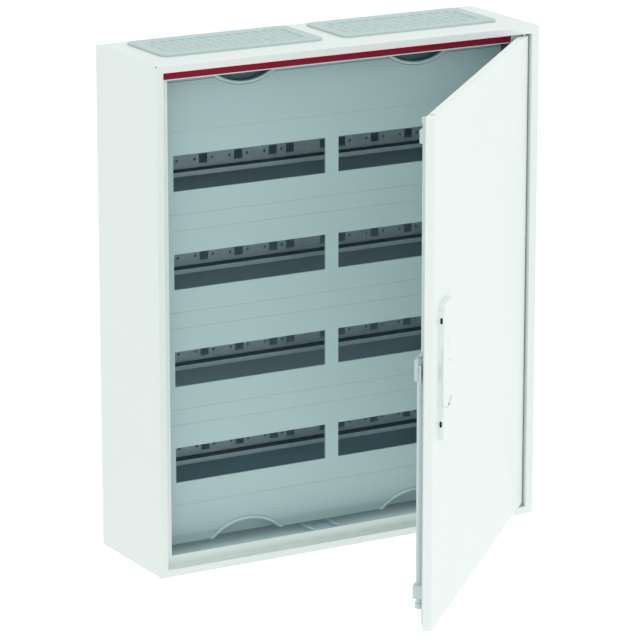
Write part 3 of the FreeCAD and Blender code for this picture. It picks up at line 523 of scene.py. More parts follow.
def rounded_rectangle(
    half_u: float, half_v: float, radius: float, steps: int = ARC_STEPS,
) -> list[tuple[float, float]]:
    """Gives the outline of a rectangle with round corners.

    Args:
        half_u: half size along the first axis.
        half_v: half size along the second axis.
        radius: corner radius.
        steps: straight runs in one corner.

    Returns:
        The outline's points.
    """
    outline = []
    for sign_u, sign_v, start in ((1, 1, 0), (-1, 1, 90), (-1, -1, 180), (1, -1, 270)):
        for step in range(steps + 1):
            turn = math.radians(start + 90 * step / steps)
            outline.append(
                (
                    sign_u * (half_u - radius) + radius * math.cos(turn),
                    sign_v * (half_v - radius) + radius * math.sin(turn),
                )
            )
    return outline


def loft(bm: BMesh, rings: Sequence[Sequence[Vector]], wrap: bool) -> None:
    """Skins a row of rings with the same number of points.

    Args:
        bm: mesh that gets the faces.
        rings: rings of points in order.
        wrap: join the last ring to the first, or else close both ends.
    """
    rows = [[bm.verts.new(point) for point in ring] for ring in rings]
    pairs = list(zip(rows, rows[1:]))
    if wrap:
        pairs.append((rows[-1], rows[0]))
    for low, high in pairs:
        for index in range(len(low)):
            after = (index + 1) % len(low)
            bm.faces.new((low[index], low[after], high[after], high[index]))
    if not wrap:
        bm.faces.new(rows[0])
        bm.faces.new(list(reversed(rows[-1])))


def swept_frame(bm: BMesh, profile: Sequence[np.ndarray], place: Place, wrap: bool) -> None:
    """Sweeps a profile round a rectangle with round corners.

    Args:
        bm: mesh that gets the faces.
        profile: half size each way, height and corner radius at each profile point.
        place: puts a point across, up and out of the rectangle in space.
        wrap: whether the profile is closed.
    """
    rings = []
    for half_u, half_v, level, radius in profile:
        outline = rounded_rectangle(half_u, half_v, max(radius, 0.05 * MM))
        rings.append([place(across, up, level) for across, up in outline])
    loft(bm, rings, wrap)


def prism(bm: BMesh, outline: Sequence[Sequence[float]], place: Place, low: float, high: float) -> None:
    """Draws an outline out into a solid.

    Args:
        bm: mesh that gets the faces.
        outline: points across and up.
        place: puts a point across, up and along in space.
        low: start of the draw.
        high: end of the draw.
    """
    loft(bm, [[place(point[0], point[1], level) for point in outline] for level in (low, high)], False)


def facing_front(across: float, up: float, out: float) -> Vector:
    """Puts a point of an upright drawing in space."""
    return Vector((across, out, up))


def along_x(deep: float, up: float, out: float) -> Vector:
    """Puts a point of a cross-section in space, drawn along X."""
    return Vector((out, deep, up))


def plate_with_windows(
    bm: BMesh, across: Sequence[float], up: Sequence[float], windows: set[tuple[int, int]], front: float,
    back: float,
) -> None:
    """Builds a flat plate on a grid with some cells left open.

    Args:
        bm: mesh that gets the faces.
        across: grid lines along X.
        up: grid lines along Z.
        windows: cells left open, by column and row.
        front: front face, along Y.
        back: back face, along Y.
    """
    sheets = [
        {(i, k): bm.verts.new((x, level, z)) for i, x in enumerate(across) for k, z in enumerate(up)}
        for level in (front, back)
    ]

    def solid(i: int, k: int) -> bool:
        """Tells whether a cell is filled."""
        return 0 <= i < len(across) - 1 and 0 <= k < len(up) - 1 and (i, k) not in windows

    for i in range(len(across) - 1):
        for k in range(len(up) - 1):
            if not solid(i, k):
                continue
            loop = [(i, k), (i + 1, k), (i + 1, k + 1), (i, k + 1)]
            bm.faces.new([sheets[0][corner] for corner in loop])
            bm.faces.new([sheets[1][corner] for corner in reversed(loop)])
            beside = ((i, k - 1), (i + 1, k), (i, k + 1), (i - 1, k))
            for side, (first, last) in enumerate(zip(loop, loop[1:] + loop[:1])):
                if not solid(*beside[side]):
                    bm.faces.new((sheets[0][first], sheets[0][last], sheets[1][last], sheets[1][first]))


def drum(
    bm: BMesh, centre: Vector, axis: Vector, profile: Sequence[tuple[float, float]], steps: int = 24,
) -> None:
    """Turns a solid about an axis from radii and heights.

    Args:
        bm: mesh that gets the faces.
        centre: start of the axis.
        axis: direction of the axis.
        profile: radius and height of each ring.
        steps: faces round the axis.
    """
    turn = axis.to_track_quat("Z", "Y")
    rings = []
    for radius, height in profile:
        rings.append(
            [
                centre + turn @ Vector((
                    radius * math.cos(math.tau * step / steps),
                    radius * math.sin(math.tau * step / steps),
                    height,
                ))
                for step in range(steps)
            ]
        )
    loft(bm, rings, False)


def new_object(name: str, bm: BMesh) -> Object:
    """Makes an object of a mesh with its faces outward.

    Args:
        name: name of the object.
        bm: the mesh, freed here.

    Returns:
        The object, linked to the scene.
    """
    bmesh.ops.recalc_face_normals(bm, faces=bm.faces[:])
    mesh = bpy.data.meshes.new(name)
    bm.to_mesh(mesh)
    bm.free()
    obj = bpy.data.objects.new(name, mesh)
    bpy.context.scene.collection.objects.link(obj)
    return obj


def settle(obj: Object) -> None:
    """Turns an object's modifiers into its plain mesh.

    Args:
        obj: object with modifiers.
    """
    graph = bpy.context.evaluated_depsgraph_get()
    mesh = bpy.data.meshes.new_from_object(obj.evaluated_get(graph))
    obj.modifiers.clear()
    old = obj.data
    obj.data = mesh
    mesh.name = obj.name
    bpy.data.meshes.remove(old)


def carve(obj: Object, cutter: BMesh) -> None:
    """Cuts a shape out of an object.

    Args:
        obj: object to cut.
        cutter: mesh of everything to take away, freed here.
    """
    tool = new_object(obj.name + "_cutter", cutter)
    boolean = obj.modifiers.new("cut", "BOOLEAN")
    boolean.object = tool
    boolean.operation = "DIFFERENCE"
    boolean.solver = "EXACT"
    settle(obj)
    bpy.data.objects.remove(tool)


def round_off(obj: Object, width: float, steps: int = 2) -> None:
    """Rounds the edges of an object and evens its shading.

    Args:
        obj: object to finish.
        width: size of the rounding, 0 for none.
        steps: faces across the rounding.
    """
    if width > 0:
        bevel = obj.modifiers.new("rounding", "BEVEL")
        bevel.width = width
        bevel.segments = steps
        bevel.limit_method = "ANGLE"
        bevel.angle_limit = SHARP_EDGE
        bevel.miter_outer = "MITER_ARC"
        settle(obj)
    mesh = obj.data
    bm = bmesh.new()
    bm.from_mesh(mesh)
    for face in bm.faces:
        face.smooth = True
    for edge in bm.edges:
        edge.smooth = len(edge.link_faces) == 2 and edge.calc_face_angle(0.0) < SHARP_EDGE
    bm.to_mesh(mesh)
    bm.free()
    even = obj.modifiers.new("even_shading", "WEIGHTED_NORMAL")
    even.keep_sharp = True
    even.weight = 100


def node_copy(node: str) -> BMesh:
    """Copies a part's mesh with its triangles joined into faces.

    Args:
        node: name of the part.

    Returns:
        The joined mesh.
    """
    bm = bmesh.new()
    bm.from_mesh(frame["nodes"][node].data)
    bmesh.ops.remove_doubles(bm, verts=bm.verts[:], dist=0.002 * MM)
    bmesh.ops.dissolve_limit(bm, angle_limit=math.radians(1), verts=bm.verts[:], edges=bm.edges[:])
    return bm


class DoorSwing:
    """Moves shapes between the shut door and its drawn position."""

    def __init__(self) -> None:
        """Reads the hinge of the door."""
        joint = next(item for item in frame["joints"] if item["name"] == "door_hinge")
        pivot = Matrix.Translation(Vector(joint["pos_m"]))
        turn = Matrix.Rotation(math.radians(joint["range_deg"][0]), 4, Vector(joint["axis"]))
        self.to_shut = pivot @ turn @ pivot.inverted()
        self.to_open = self.to_shut.inverted()

    def shut_box(self, node: str) -> tuple[Vector, Vector]:
        """Gives the corners of a door part with the door shut.

        Args:
            node: name of the part.

        Returns:
            The lowest and the highest corner.
        """
        points = np.array([self.to_shut @ v.co for v in frame["nodes"][node].data.vertices])
        return Vector(points.min(0)), Vector(points.max(0))


@dataclass
class Workshop:
    """Shared finishes and the last steps of every piece."""

    groups: SkinGroups = field(default_factory=SkinGroups)
    swing: DoorSwing = field(default_factory=DoorSwing)
    materials: dict[str, bpy.types.Material] = field(default_factory=dict)
    count: int = 0

    def material(self, finish: Finish) -> bpy.types.Material:
        """Gives the material of a finish, built once.

        Args:
            finish: the finish.

        Returns:
            Its material.
        """
        if finish.name not in self.materials:
            self.materials[finish.name] = finish.material(self.groups)
        return self.materials[finish.name]

    def second_finish(self, obj: Object, finish: Finish, chosen: Chooser) -> None:
        """Gives some faces of a hung piece a second finish.

        Args:
            obj: the piece.
            finish: finish of the chosen faces.
            chosen: tells from a face's middle and normal whether it is meant.
        """
        obj.data.materials.append(self.material(finish))
        index = len(obj.data.materials) - 1
        for face in obj.data.polygons:
            if chosen(face.center, face.normal):
                face.material_index = index

    def hang(
        self, obj: Object, body: Body, finish: Finish, nodes: Sequence[str], rounding: float = 0.0,
        swung: bool = False,
    ) -> Object:
        """Finishes a piece and hangs it on its body.

        Args:
            obj: the piece.
            body: body that it moves with.
            finish: its finish.
            nodes: parts that it stands for.
            rounding: size of its rounded edges.
            swung: whether it was built on the shut door.

        Returns:
            The piece.
        """
        if swung:
            obj.data.transform(self.swing.to_open)
        obj.data.materials.clear()
        obj.data.materials.append(self.material(finish))
        round_off(obj, rounding)
        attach(obj, body.value)
        if nodes:
            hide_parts(*nodes)
        self.count += 1
        log.info("%s: %d faces", obj.name, len(obj.data.polygons))
        return obj


# ---------------------------------------------------------------- geometry nodes
class NodeRecipe:
    """Base of the geometry node trees, with a socket for each size."""

    NAME = "recipe"
    SIZES: tuple[tuple[str, float], ...] = ()

    def __init__(self) -> None:
        """Builds the tree."""
        inputs = [("Geometry", "NodeSocketGeometry", None), ("Material", "NodeSocketMaterial", None)]
        inputs += [(name, "NodeSocketFloat", value) for name, value in self.SIZES]
        self.tree, self.given, self.result = open_group(
            self.NAME, inputs, (("Geometry", "NodeSocketGeometry"),), "GeometryNodeTree"
        )
        shape = self.shape()
        real = wire(self.tree, "GeometryNodeRealizeInstances", {0: shape})
        painted = wire(
            self.tree, "GeometryNodeSetMaterial",
            {"Geometry": real.outputs[0], "Material": self.given.outputs["Material"]},
        )
        self.tree.links.new(painted.outputs[0], self.result.inputs[0])

    def shape(self) -> Socket:
        """Builds the shape and gives its socket."""
        raise NotImplementedError

    def size(self, name: str) -> Socket:
        """Gives the socket of a size."""
        return self.given.outputs[name]

    def vector(self, x: Value = 0.0, y: Value = 0.0, z: Value = 0.0) -> Socket:
        """Joins three values into a vector."""
        return wire(self.tree, "ShaderNodeCombineXYZ", {0: x, 1: y, 2: z}).outputs[0]

    def times(self, first: Value, second: Value) -> Socket:
        """Multiplies two values."""
        return math_node(self.tree, "MULTIPLY", first, second)

    def grow(self, obj: Object, material: bpy.types.Material, **sizes: float) -> None:
        """Runs the tree on an object and keeps the plain mesh.

        Args:
            obj: object whose mesh goes into the tree.
            material: material of the result.
            sizes: values by input name, with _ for a blank.
        """
        modifier = obj.modifiers.new(self.NAME, "NODES")
        modifier.node_group = self.tree
        values: dict[str, object] = {key.replace("_", " "): value for key, value in sizes.items()}
        values["Material"] = material
        for item in self.tree.interface.items_tree:
            if item.item_type == "SOCKET" and item.in_out == "INPUT" and item.name in values:
                modifier[item.identifier] = values[item.name]
        settle(obj)


class PunchedRail(NodeRecipe):
    """Row of square and round punchings through a rail."""

    NAME = "punched_rail"
    SIZES = (
        ("pitch", 0.05), ("side", 0.012), ("round", 0.0019), ("beside", 0.0125), ("level", 0.0),
        ("web", -0.045), ("screw x", 0.236), ("screw radius", 0.0028),
    )

    def _line(self, count: int, start: Value, step: Value) -> Socket:
        """Gives points on a level line from a start and a step along X.

        Args:
            count: number of points.
            start: X of the first point.
            step: distance between two points.

        Returns:
            The points.
        """
        tree = self.tree
        place = self.vector(start, self.size("web"), self.size("level"))
        line = wire(
            tree, "GeometryNodeMeshLine",
            {"Count": count, "Start Location": place, "Offset": self.vector(step)},
        )
        return line.outputs[0]

    def _without_middle(self, points: Socket, reach: Value) -> Socket:
        """Takes away the points nearer to the middle than a reach.

        Args:
            points: a line of points.
            reach: distance from the middle within which points are dropped.

        Returns:
            The points that are left.
        """
        tree = self.tree
        where = wire(
            tree, "ShaderNodeSeparateXYZ", {0: tree.nodes.new("GeometryNodeInputPosition").outputs[0]},
        )
        near = math_node(tree, "LESS_THAN", math_node(tree, "ABSOLUTE", where.outputs[0]), reach)
        return wire(tree, "GeometryNodeDeleteGeometry", {"Geometry": points, "Selection": near}).outputs[0]

    def shape(self) -> Socket:
        """Cuts squares, rounds and screw holes out of the rail."""
        tree, pitch = self.tree, self.size("pitch")
        squares = wire(tree, "GeometryNodeJoinGeometry")
        tree.links.new(
            self._without_middle(self._line(9, self.times(pitch, -4.0), pitch), self.times(pitch, 0.25)),
            squares.inputs[0],
        )
        tree.links.new(self._line(2, self.times(pitch, -0.5), pitch), squares.inputs[0])
        cube = wire(
            tree, "GeometryNodeMeshCube",
            {"Size": self.vector(self.size("side"), 0.008, self.size("side"))},
        )
        boxes = wire(
            tree, "GeometryNodeInstanceOnPoints",
            {"Points": squares.outputs[0], "Instance": cube.outputs[0]},
        )
        rounds = wire(tree, "GeometryNodeJoinGeometry")
        for sign in (-1.0, 1.0):
            start = math_node(tree, "ADD", self.times(pitch, -4.0), self.times(self.size("beside"), sign))
            tree.links.new(
                self._without_middle(self._line(9, start, pitch), self.times(pitch, 0.5)), rounds.inputs[0],
            )
        pins = self._pins(rounds.outputs[0], self.size("round"))
        screw_line = self._line(
            2, self.times(self.size("screw x"), -1.0), self.times(self.size("screw x"), 2.0),
        )
        screws = self._pins(screw_line, self.size("screw radius"))
        tools = wire(tree, "GeometryNodeJoinGeometry")
        for item in (boxes.outputs[0], pins, screws):
            tree.links.new(item, tools.inputs[0])
        solid = wire(tree, "GeometryNodeRealizeInstances", {0: tools.outputs[0]})
        cut = wire(
            tree, "GeometryNodeMeshBoolean", {"Mesh 1": self.given.outputs["Geometry"]},
            operation="DIFFERENCE",
        )
        tree.links.new(solid.outputs[0], cut.inputs["Mesh 2"])
        return cut.outputs[0]

    def _pins(self, points: Socket, radius: Value) -> Socket:
        """Puts round cutters along Y on points.

        Args:
            points: where the round punchings sit.
            radius: their radius.

        Returns:
            One cylinder for each point.
        """
        pin = wire(self.tree, "GeometryNodeMeshCylinder", {"Vertices": 16, "Radius": radius, "Depth": 0.008})
        placed = wire(
            self.tree, "GeometryNodeInstanceOnPoints",
            {"Points": points, "Instance": pin.outputs[0], "Rotation": (math.pi / 2, 0.0, 0.0)},
        )
        return placed.outputs[0]


class ScrewRow(NodeRecipe):
    """Cross-recess screws on the points of a mesh, pointing along -Y before the turn."""

    NAME = "screw_row"
    SIZES = (
        ("head radius", 0.0045), ("head height", 0.003), ("shank radius", 0.0025), ("shank length", 0.008),
        ("turn", 0.0),
    )

    def shape(self) -> Socket:
        """Builds one screw and puts it on every point."""
        tree, radius, height = self.tree, self.size("head radius"), self.size("head height")
        rim = wire(
            tree, "GeometryNodeMeshCone",
            {"Vertices": 20, "Radius Bottom": radius, "Radius Top": radius, "Depth": self.times(height, 0.6)},
        )
        crown = wire(
            tree, "GeometryNodeMeshCone",
            {
                "Vertices": 20, "Radius Bottom": radius, "Radius Top": self.times(radius, 0.72),
                "Depth": self.times(height, 0.4),
            },
        )
        lifted = wire(
            tree, "GeometryNodeTransform",
            {"Geometry": crown.outputs[0], "Translation": self.vector(0.0, 0.0, self.times(height, 0.6))},
        )
        shank = wire(
            tree, "GeometryNodeMeshCylinder",
            {"Vertices": 14, "Radius": self.size("shank radius"), "Depth": self.size("shank length")},
        )
        sunk = wire(
            tree, "GeometryNodeTransform",
            {
                "Geometry": shank.outputs[0],
                "Translation": self.vector(0.0, 0.0, self.times(self.size("shank length"), -0.499)),
            },
        )
        solid = wire(tree, "GeometryNodeMeshBoolean", operation="UNION")
        for item in (rim.outputs[0], lifted.outputs[0], sunk.outputs[0]):
            tree.links.new(item, solid.inputs["Mesh 2"])
        recess = wire(tree, "GeometryNodeJoinGeometry")
        for wide, narrow in ((1.15, 0.22), (0.22, 1.15)):
            bar = wire(
                tree, "GeometryNodeMeshCube",
                {"Size": self.vector(self.times(radius, wide), self.times(radius, narrow), height)},
            )
            raised = wire(
                tree, "GeometryNodeTransform",
                {"Geometry": bar.outputs[0], "Translation": self.vector(0.0, 0.0, height)},
            )
            tree.links.new(raised.outputs[0], recess.inputs[0])
        cut = wire(tree, "GeometryNodeMeshBoolean", {"Mesh 1": solid.outputs[0]}, operation="DIFFERENCE")
        tree.links.new(recess.outputs[0], cut.inputs["Mesh 2"])
        placed = wire(
            tree, "GeometryNodeInstanceOnPoints",
            {"Points": self.given.outputs["Geometry"], "Instance": cut.outputs[0],
             "Rotation": self.vector(math.pi / 2, 0.0, self.size("turn"))},
        )
        return placed.outputs[0]


class DomeField(NodeRecipe):
    """Staggered cable domes on a flat membrane."""

    NAME = "dome_field"
    SIZES = (
        ("wide", 0.196), ("deep", 0.072), ("level", 0.3263), ("rise", 0.0016), ("radius", 0.0056),
        ("turn", 0.0), ("centre x", 0.0), ("centre y", 0.0),
    )
    COLUMNS = 15
    ROWS = 5

    def shape(self) -> Socket:
        """Joins the membrane with rows of stepped domes."""
        tree = self.tree
        grid = wire(
            tree, "GeometryNodeMeshGrid",
            {
                "Size X": self.size("wide"), "Size Y": self.size("deep"), "Vertices X": self.COLUMNS,
                "Vertices Y": self.ROWS,
            },
        )
        index = tree.nodes.new("GeometryNodeInputIndex").outputs[0]
        odd = math_node(tree, "MODULO", index, 2.0)
        nudge = self.times(math_node(tree, "SUBTRACT", odd, 0.5), self.times(self.size("radius"), 0.35))
        shifted = wire(
            tree, "GeometryNodeSetPosition",
            {
                "Geometry": grid.outputs[0],
                "Offset": self.vector(
                    self.size("centre x"), math_node(tree, "ADD", self.size("centre y"), nudge),
                    self.size("level"),
                ),
            },
        )
        radius, rise = self.size("radius"), self.size("rise")
        parts = wire(tree, "GeometryNodeJoinGeometry")
        for low, high, start, tall in ((1.0, 0.9, 0.0, 0.5), (0.72, 0.42, 0.45, 0.55)):
            step = wire(
                tree, "GeometryNodeMeshCone",
                {
                    "Vertices": 12, "Radius Bottom": self.times(radius, low),
                    "Radius Top": self.times(radius, high), "Depth": self.times(rise, tall),
                },
            )
            lifted = wire(
                tree, "GeometryNodeTransform",
                {"Geometry": step.outputs[0], "Translation": self.vector(0.0, 0.0, self.times(rise, start))},
            )
            tree.links.new(lifted.outputs[0], parts.inputs[0])
        size = wire(tree, "FunctionNodeRandomValue", {2: 0.66, 3: 1.0, "Seed": 7}, data_type="FLOAT")
        grow = self.vector(size.outputs[1], size.outputs[1], 1.0)
        placed = wire(
            tree, "GeometryNodeInstanceOnPoints",
            {
                "Points": shifted.outputs[0], "Instance": parts.outputs[0], "Scale": grow,
                "Rotation": self.vector(self.size("turn")),
            },
        )
        joined = wire(tree, "GeometryNodeJoinGeometry")
        tree.links.new(placed.outputs[0], joined.inputs[0])
        tree.links.new(self.given.outputs["Geometry"], joined.inputs[0])
        return joined.outputs[0]


# ---------------------------------------------------------------- enclosure
@dataclass
class Enclosure:
    """Folded steel body with its rear panel, trim strip and hinge bushes."""

    shop: Workshop
    steel: float = 1.2 * MM
    rim_side: float = 11 * MM
    rim_end: float = 10 * MM
    rebate: float = 15 * MM
    outer_fold: float = 2.0 * MM
    rim_fold: float = 1.1 * MM
    corner: float = 2.2 * MM
    relief: float = 1.5 * MM
    stamp: float = 15 * MM
    stamp_deep: float = 1.6 * MM
    stamp_rim: float = 2 * MM
    stamp_slope: float = 4.5 * MM
    stamp_steps: int = 40
    fixing_x: float = 200 * MM
    fixing_z: float = 285 * MM
    fixing_radius: float = 4.25 * MM
    flange_lap: float = 4.3 * MM
    bush_hole: float = 3.02 * MM

    def build(self) -> None:
        """Builds and hangs every piece of the body."""
        self._shell()
        self._rear()
        self._trim()
        for end in ("upper", "lower"):
            node = end + "_hinge_bush"
            self.shop.hang(new_object(end + "_bush", node_copy(node)), Body.CABINET, BUSH, [node], 0.3 * MM)

    def _shell(self) -> None:
        """Folds the four walls from one swept profile and cuts the openings."""
        side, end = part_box("left_wall"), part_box("top_wall")
        x, z, front = -side[0].x, end[1].z, side[0].y
        seat_x, seat_z = -side[1].x, end[0].z
        steel, seat = self.steel, front + self.rebate
        rim_x, rim_z = x - self.rim_side, z - self.rim_end
        profile = [
            (x, z, 0.0, self.corner), (x, z, front, self.corner),
            (rim_x, rim_z, front, 0.9 * MM), (rim_x, rim_z, seat, 0.9 * MM),
            (seat_x, seat_z, seat, 0.6 * MM), (seat_x, seat_z, seat + steel, 0.6 * MM),
            (rim_x + steel, rim_z + steel, seat + steel, 0.5 * MM),
            (rim_x + steel, rim_z + steel, front + steel, 0.5 * MM),
            (x - steel, z - steel, front + steel, 1.0 * MM), (x - steel, z - steel, 0.0, 1.0 * MM),
        ]
        radii = [
            0.3 * MM, self.outer_fold, self.rim_fold, 0.5 * MM, 0.4 * MM, 0.4 * MM, 1.2 * MM, 0.4 * MM,
            0.8 * MM, 0.3 * MM,
        ]
        bm = bmesh.new()
        swept_frame(bm, eased_chain(profile, radii, True), facing_front, True)
        shell = new_object("enclosure_shell", bm)
        cutter = bmesh.new()
        for sign in (-1, 1):
            for hand in ("left", "right"):
                node = ("top" if sign > 0 else "bottom") + "_flange_" + hand
                low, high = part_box(node)
                inset = self.flange_lap
                outline = [
                    (low.x + inset, low.y + inset), (high.x - inset, low.y + inset),
                    (high.x - inset, high.y - inset), (low.x + inset, high.y - inset),
                ]
                levels = sorted((sign * (z - 2 * MM), sign * (z + 1 * MM)))
                prism(cutter, outline, lambda a, b, c: Vector((a, b, c)), *levels)
                corner = Vector(((-x if hand == "left" else x), front, sign * z))
                inward = Vector((math.copysign(1, -corner.x), 1, math.copysign(1, -corner.z))).normalized()
                drum(
                    cutter, corner - inward * 2 * MM, inward, [(self.relief, 0.0), (self.relief, 5 * MM)],
                    12,
                )
        for end_name, sign in (("upper", 1), ("lower", -1)):
            low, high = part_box(end_name + "_hinge_bush")
            middle = (low + high) / 2
            start = Vector((middle.x, middle.y, sign * (rim_z - 1 * MM)))
            drum(cutter, start, Vector((0, 0, sign)), [(self.bush_hole, 0.0), (self.bush_hole, 6 * MM)], 24)
        carve(shell, cutter)
        self.shop.hang(
            shell, Body.CABINET, SHEET_WHITE, ["left_wall", "right_wall", "top_wall", "bottom_wall"],
        )
        # Painted shade: inward-facing wall faces behind the seat get a grey finish for the shade inside the
        # body.
        self.shop.second_finish(
            shell, BODY_INNER_PAINTED_SHADE,
            lambda middle, normal: (
                middle.y > seat + 2 * steel
                and normal.x * middle.x + normal.z * middle.z < 0
                and abs(normal.y) < 0.5
            ),
        )

    def _rear(self) -> None:
        """Builds the rear panel with stamped rings round the fixing holes."""
        low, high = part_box("back_panel")
        bm = bmesh.new()
        outline = rounded_rectangle(high.x, high.z, 1.0 * MM)
        prism(bm, outline, facing_front, low.y, high.y)
        panel = new_object("rear_panel", bm)
        holes = [(x, z) for x in (-self.fixing_x, self.fixing_x) for z in (-self.fixing_z, self.fixing_z)]
        cutter = bmesh.new()
        for x, z in holes:
            drum(
                cutter, Vector((x, -5 * MM, z)), Vector((0, 1, 0)),
                [(self.stamp, 0.0), (self.stamp, 10 * MM)], self.stamp_steps,
            )
        carve(panel, cutter)
        rings = bmesh.new()
        rings.from_mesh(panel.data)
        for x, z in holes:
            profile = [
                (self.stamp + 0.1 * MM, low.y), (self.stamp + 0.1 * MM, 0.0),
                (self.stamp - self.stamp_rim, 0.0),
                (self.stamp - self.stamp_slope, -self.stamp_deep), (self.fixing_radius, -self.stamp_deep),
                (self.fixing_radius, -self.stamp_deep + low.y),
                (self.stamp - self.stamp_slope, -self.stamp_deep + low.y),
                (self.stamp - self.stamp_rim, low.y),
            ]
            turns = [math.tau * k / self.stamp_steps for k in range(self.stamp_steps)]
            loops = [
                [Vector((x + r * math.cos(t), y, z + r * math.sin(t))) for t in turns]
                for r, y in profile
            ]
            loft(rings, loops, True)
        bmesh.ops.recalc_face_normals(rings, faces=rings.faces[:])
        rings.to_mesh(panel.data)
        rings.free()
        self.shop.hang(panel, Body.CABINET, SHEET_WHITE, ["back_panel"], 0.25 * MM)
        # Painted shade: faces looking into the cabinet get the dark finish for the shade seen through the
        # slots.
        self.shop.second_finish(panel, REAR_INNER_PAINTED_SHADE, lambda middle, normal: normal.y < -0.5)

    def _trim(self) -> None:
        """Builds the coloured strip with its two thin grooves."""
        low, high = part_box("trim_strip")
        tall = high.z - low.z
        front, back = low.y, high.y
        section = [
            (back, low.z), (front, low.z), (front, low.z + 0.12 * tall),
            (front + 0.25 * MM, low.z + 0.15 * tall),
            (front, low.z + 0.18 * tall), (front, low.z + 0.82 * tall),
            (front + 0.25 * MM, low.z + 0.85 * tall),
            (front, low.z + 0.88 * tall), (front, high.z), (back, high.z),
        ]
        bm = bmesh.new()
        prism(bm, section, along_x, low.x, high.x)
        self.shop.hang(new_object("trim", bm), Body.CABINET, TRIM_RED, ["trim_strip"], 0.2 * MM)


@dataclass
class CableFlanges:
    """Four cable entry frames with their domed membranes."""

    shop: Workshop
    border: float = 16 * MM
    corner: float = 11 * MM
    thick: float = 3 * MM
    lap: float = 4.3 * MM
    wall: float = 2.5 * MM
    skirt: float = 6 * MM

    def build(self) -> None:
        """Builds and hangs every frame and membrane."""
        domes = DomeField()
        for end, sign in (("top", 1), ("bottom", -1)):
            for hand in ("left", "right"):
                self._frame(end, hand, sign)
                self._membrane(end, hand, sign, domes)

    def _place(self, end: str, hand: str, sign: int) -> tuple[Place, float, float, float, Vector]:
        """Gives the flange's own placing, half sizes, wall level and centre.

        Args:
            end: "top" or "bottom".
            hand: "left" or "right".
            sign: 1 at the top, -1 at the bottom.

        Returns:
            The placing, the half sizes, the level of the wall and the centre.
        """
        low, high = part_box("%s_flange_%s" % (end, hand))
        middle = (low + high) / 2
        wall = abs(high.z if sign > 0 else low.z) - self.thick

        def place(across: float, deep: float, level: float) -> Vector:
            """Puts a point of the flange drawing in space."""
            return Vector((middle.x + across, middle.y + deep, sign * level))

        return place, (high.x - low.x) / 2, (high.y - low.y) / 2, wall, middle

    def _frame(self, end: str, hand: str, sign: int) -> None:
        """Sweeps the frame with its lip and skirt.

        Args:
            end: "top" or "bottom".
            hand: "left" or "right".
            sign: 1 at the top, -1 at the bottom.
        """
        place, u, v, wall, _ = self._place(end, hand, sign)
        top, b, s = wall + self.thick, self.border, self.lap + self.wall
        profile = [
            (u, v, wall, self.corner), (u, v, top, self.corner),
            (u - b + 3 * MM, v - b + 3 * MM, top, self.corner), (u - b, v - b, top - 0.9 * MM, self.corner),
            (u - b, v - b, wall, self.corner), (u - s, v - s, wall, 5 * MM),
            (u - s, v - s, wall - self.skirt, 5 * MM),
            (u - self.lap, v - self.lap, wall - self.skirt, 5 * MM),
            (u - self.lap, v - self.lap, wall, 5 * MM),
        ]
        radii = [0.3 * MM, 1.3 * MM, 0.8 * MM, 0.4 * MM, 0.3 * MM, 0.3 * MM, 0.5 * MM, 0.5 * MM, 0.3 * MM]
        bm = bmesh.new()
        swept_frame(bm, eased_chain(profile, radii, True), place, True)
        name = "%s_cable_frame_%s" % (end, hand)
        self.shop.hang(new_object(name, bm), Body.CABINET, FLANGE_GREY, ["%s_flange_%s" % (end, hand)])

    def _membrane(self, end: str, hand: str, sign: int, domes: DomeField) -> None:
        """Lays the soft sheet and grows its domes.

        Args:
            end: "top" or "bottom".
            hand: "left" or "right".
            sign: 1 at the top, -1 at the bottom.
            domes: recipe of the domes.
        """
        place, u, v, wall, middle = self._place(end, hand, sign)
        half_u, half_v = u - self.border - 0.1 * MM, v - self.border - 0.1 * MM
        bm = bmesh.new()
        chain = eased_chain(
            [(
                half_u - 4 * MM, half_v - 4 * MM, wall + 0.1 * MM, 8 * MM,
            ), (half_u, half_v, wall + 0.1 * MM, self.corner),
             (half_u, half_v, wall + 1.3 * MM, self.corner),
             (half_u - 4 * MM, half_v - 4 * MM, wall + 1.3 * MM, 8 * MM)],
            [0, 0.2 * MM, 0.4 * MM, 0], False,
        )
        swept_frame(bm, chain, place, False)
        soft = new_object("%s_cable_membrane_%s" % (end, hand), bm)
        domes.grow(
            soft, self.shop.material(MEMBRANE_GREY), wide=2 * half_u - 12 * MM, deep=2 * half_v - 12 * MM,
            level=sign * (wall + 1.25 * MM), turn=0.0 if sign > 0 else math.pi,
            centre_x=middle.x, centre_y=middle.y,
        )
        self.shop.hang(soft, Body.CABINET, MEMBRANE_GREY, ["%s_membrane_%s" % (end, hand)])


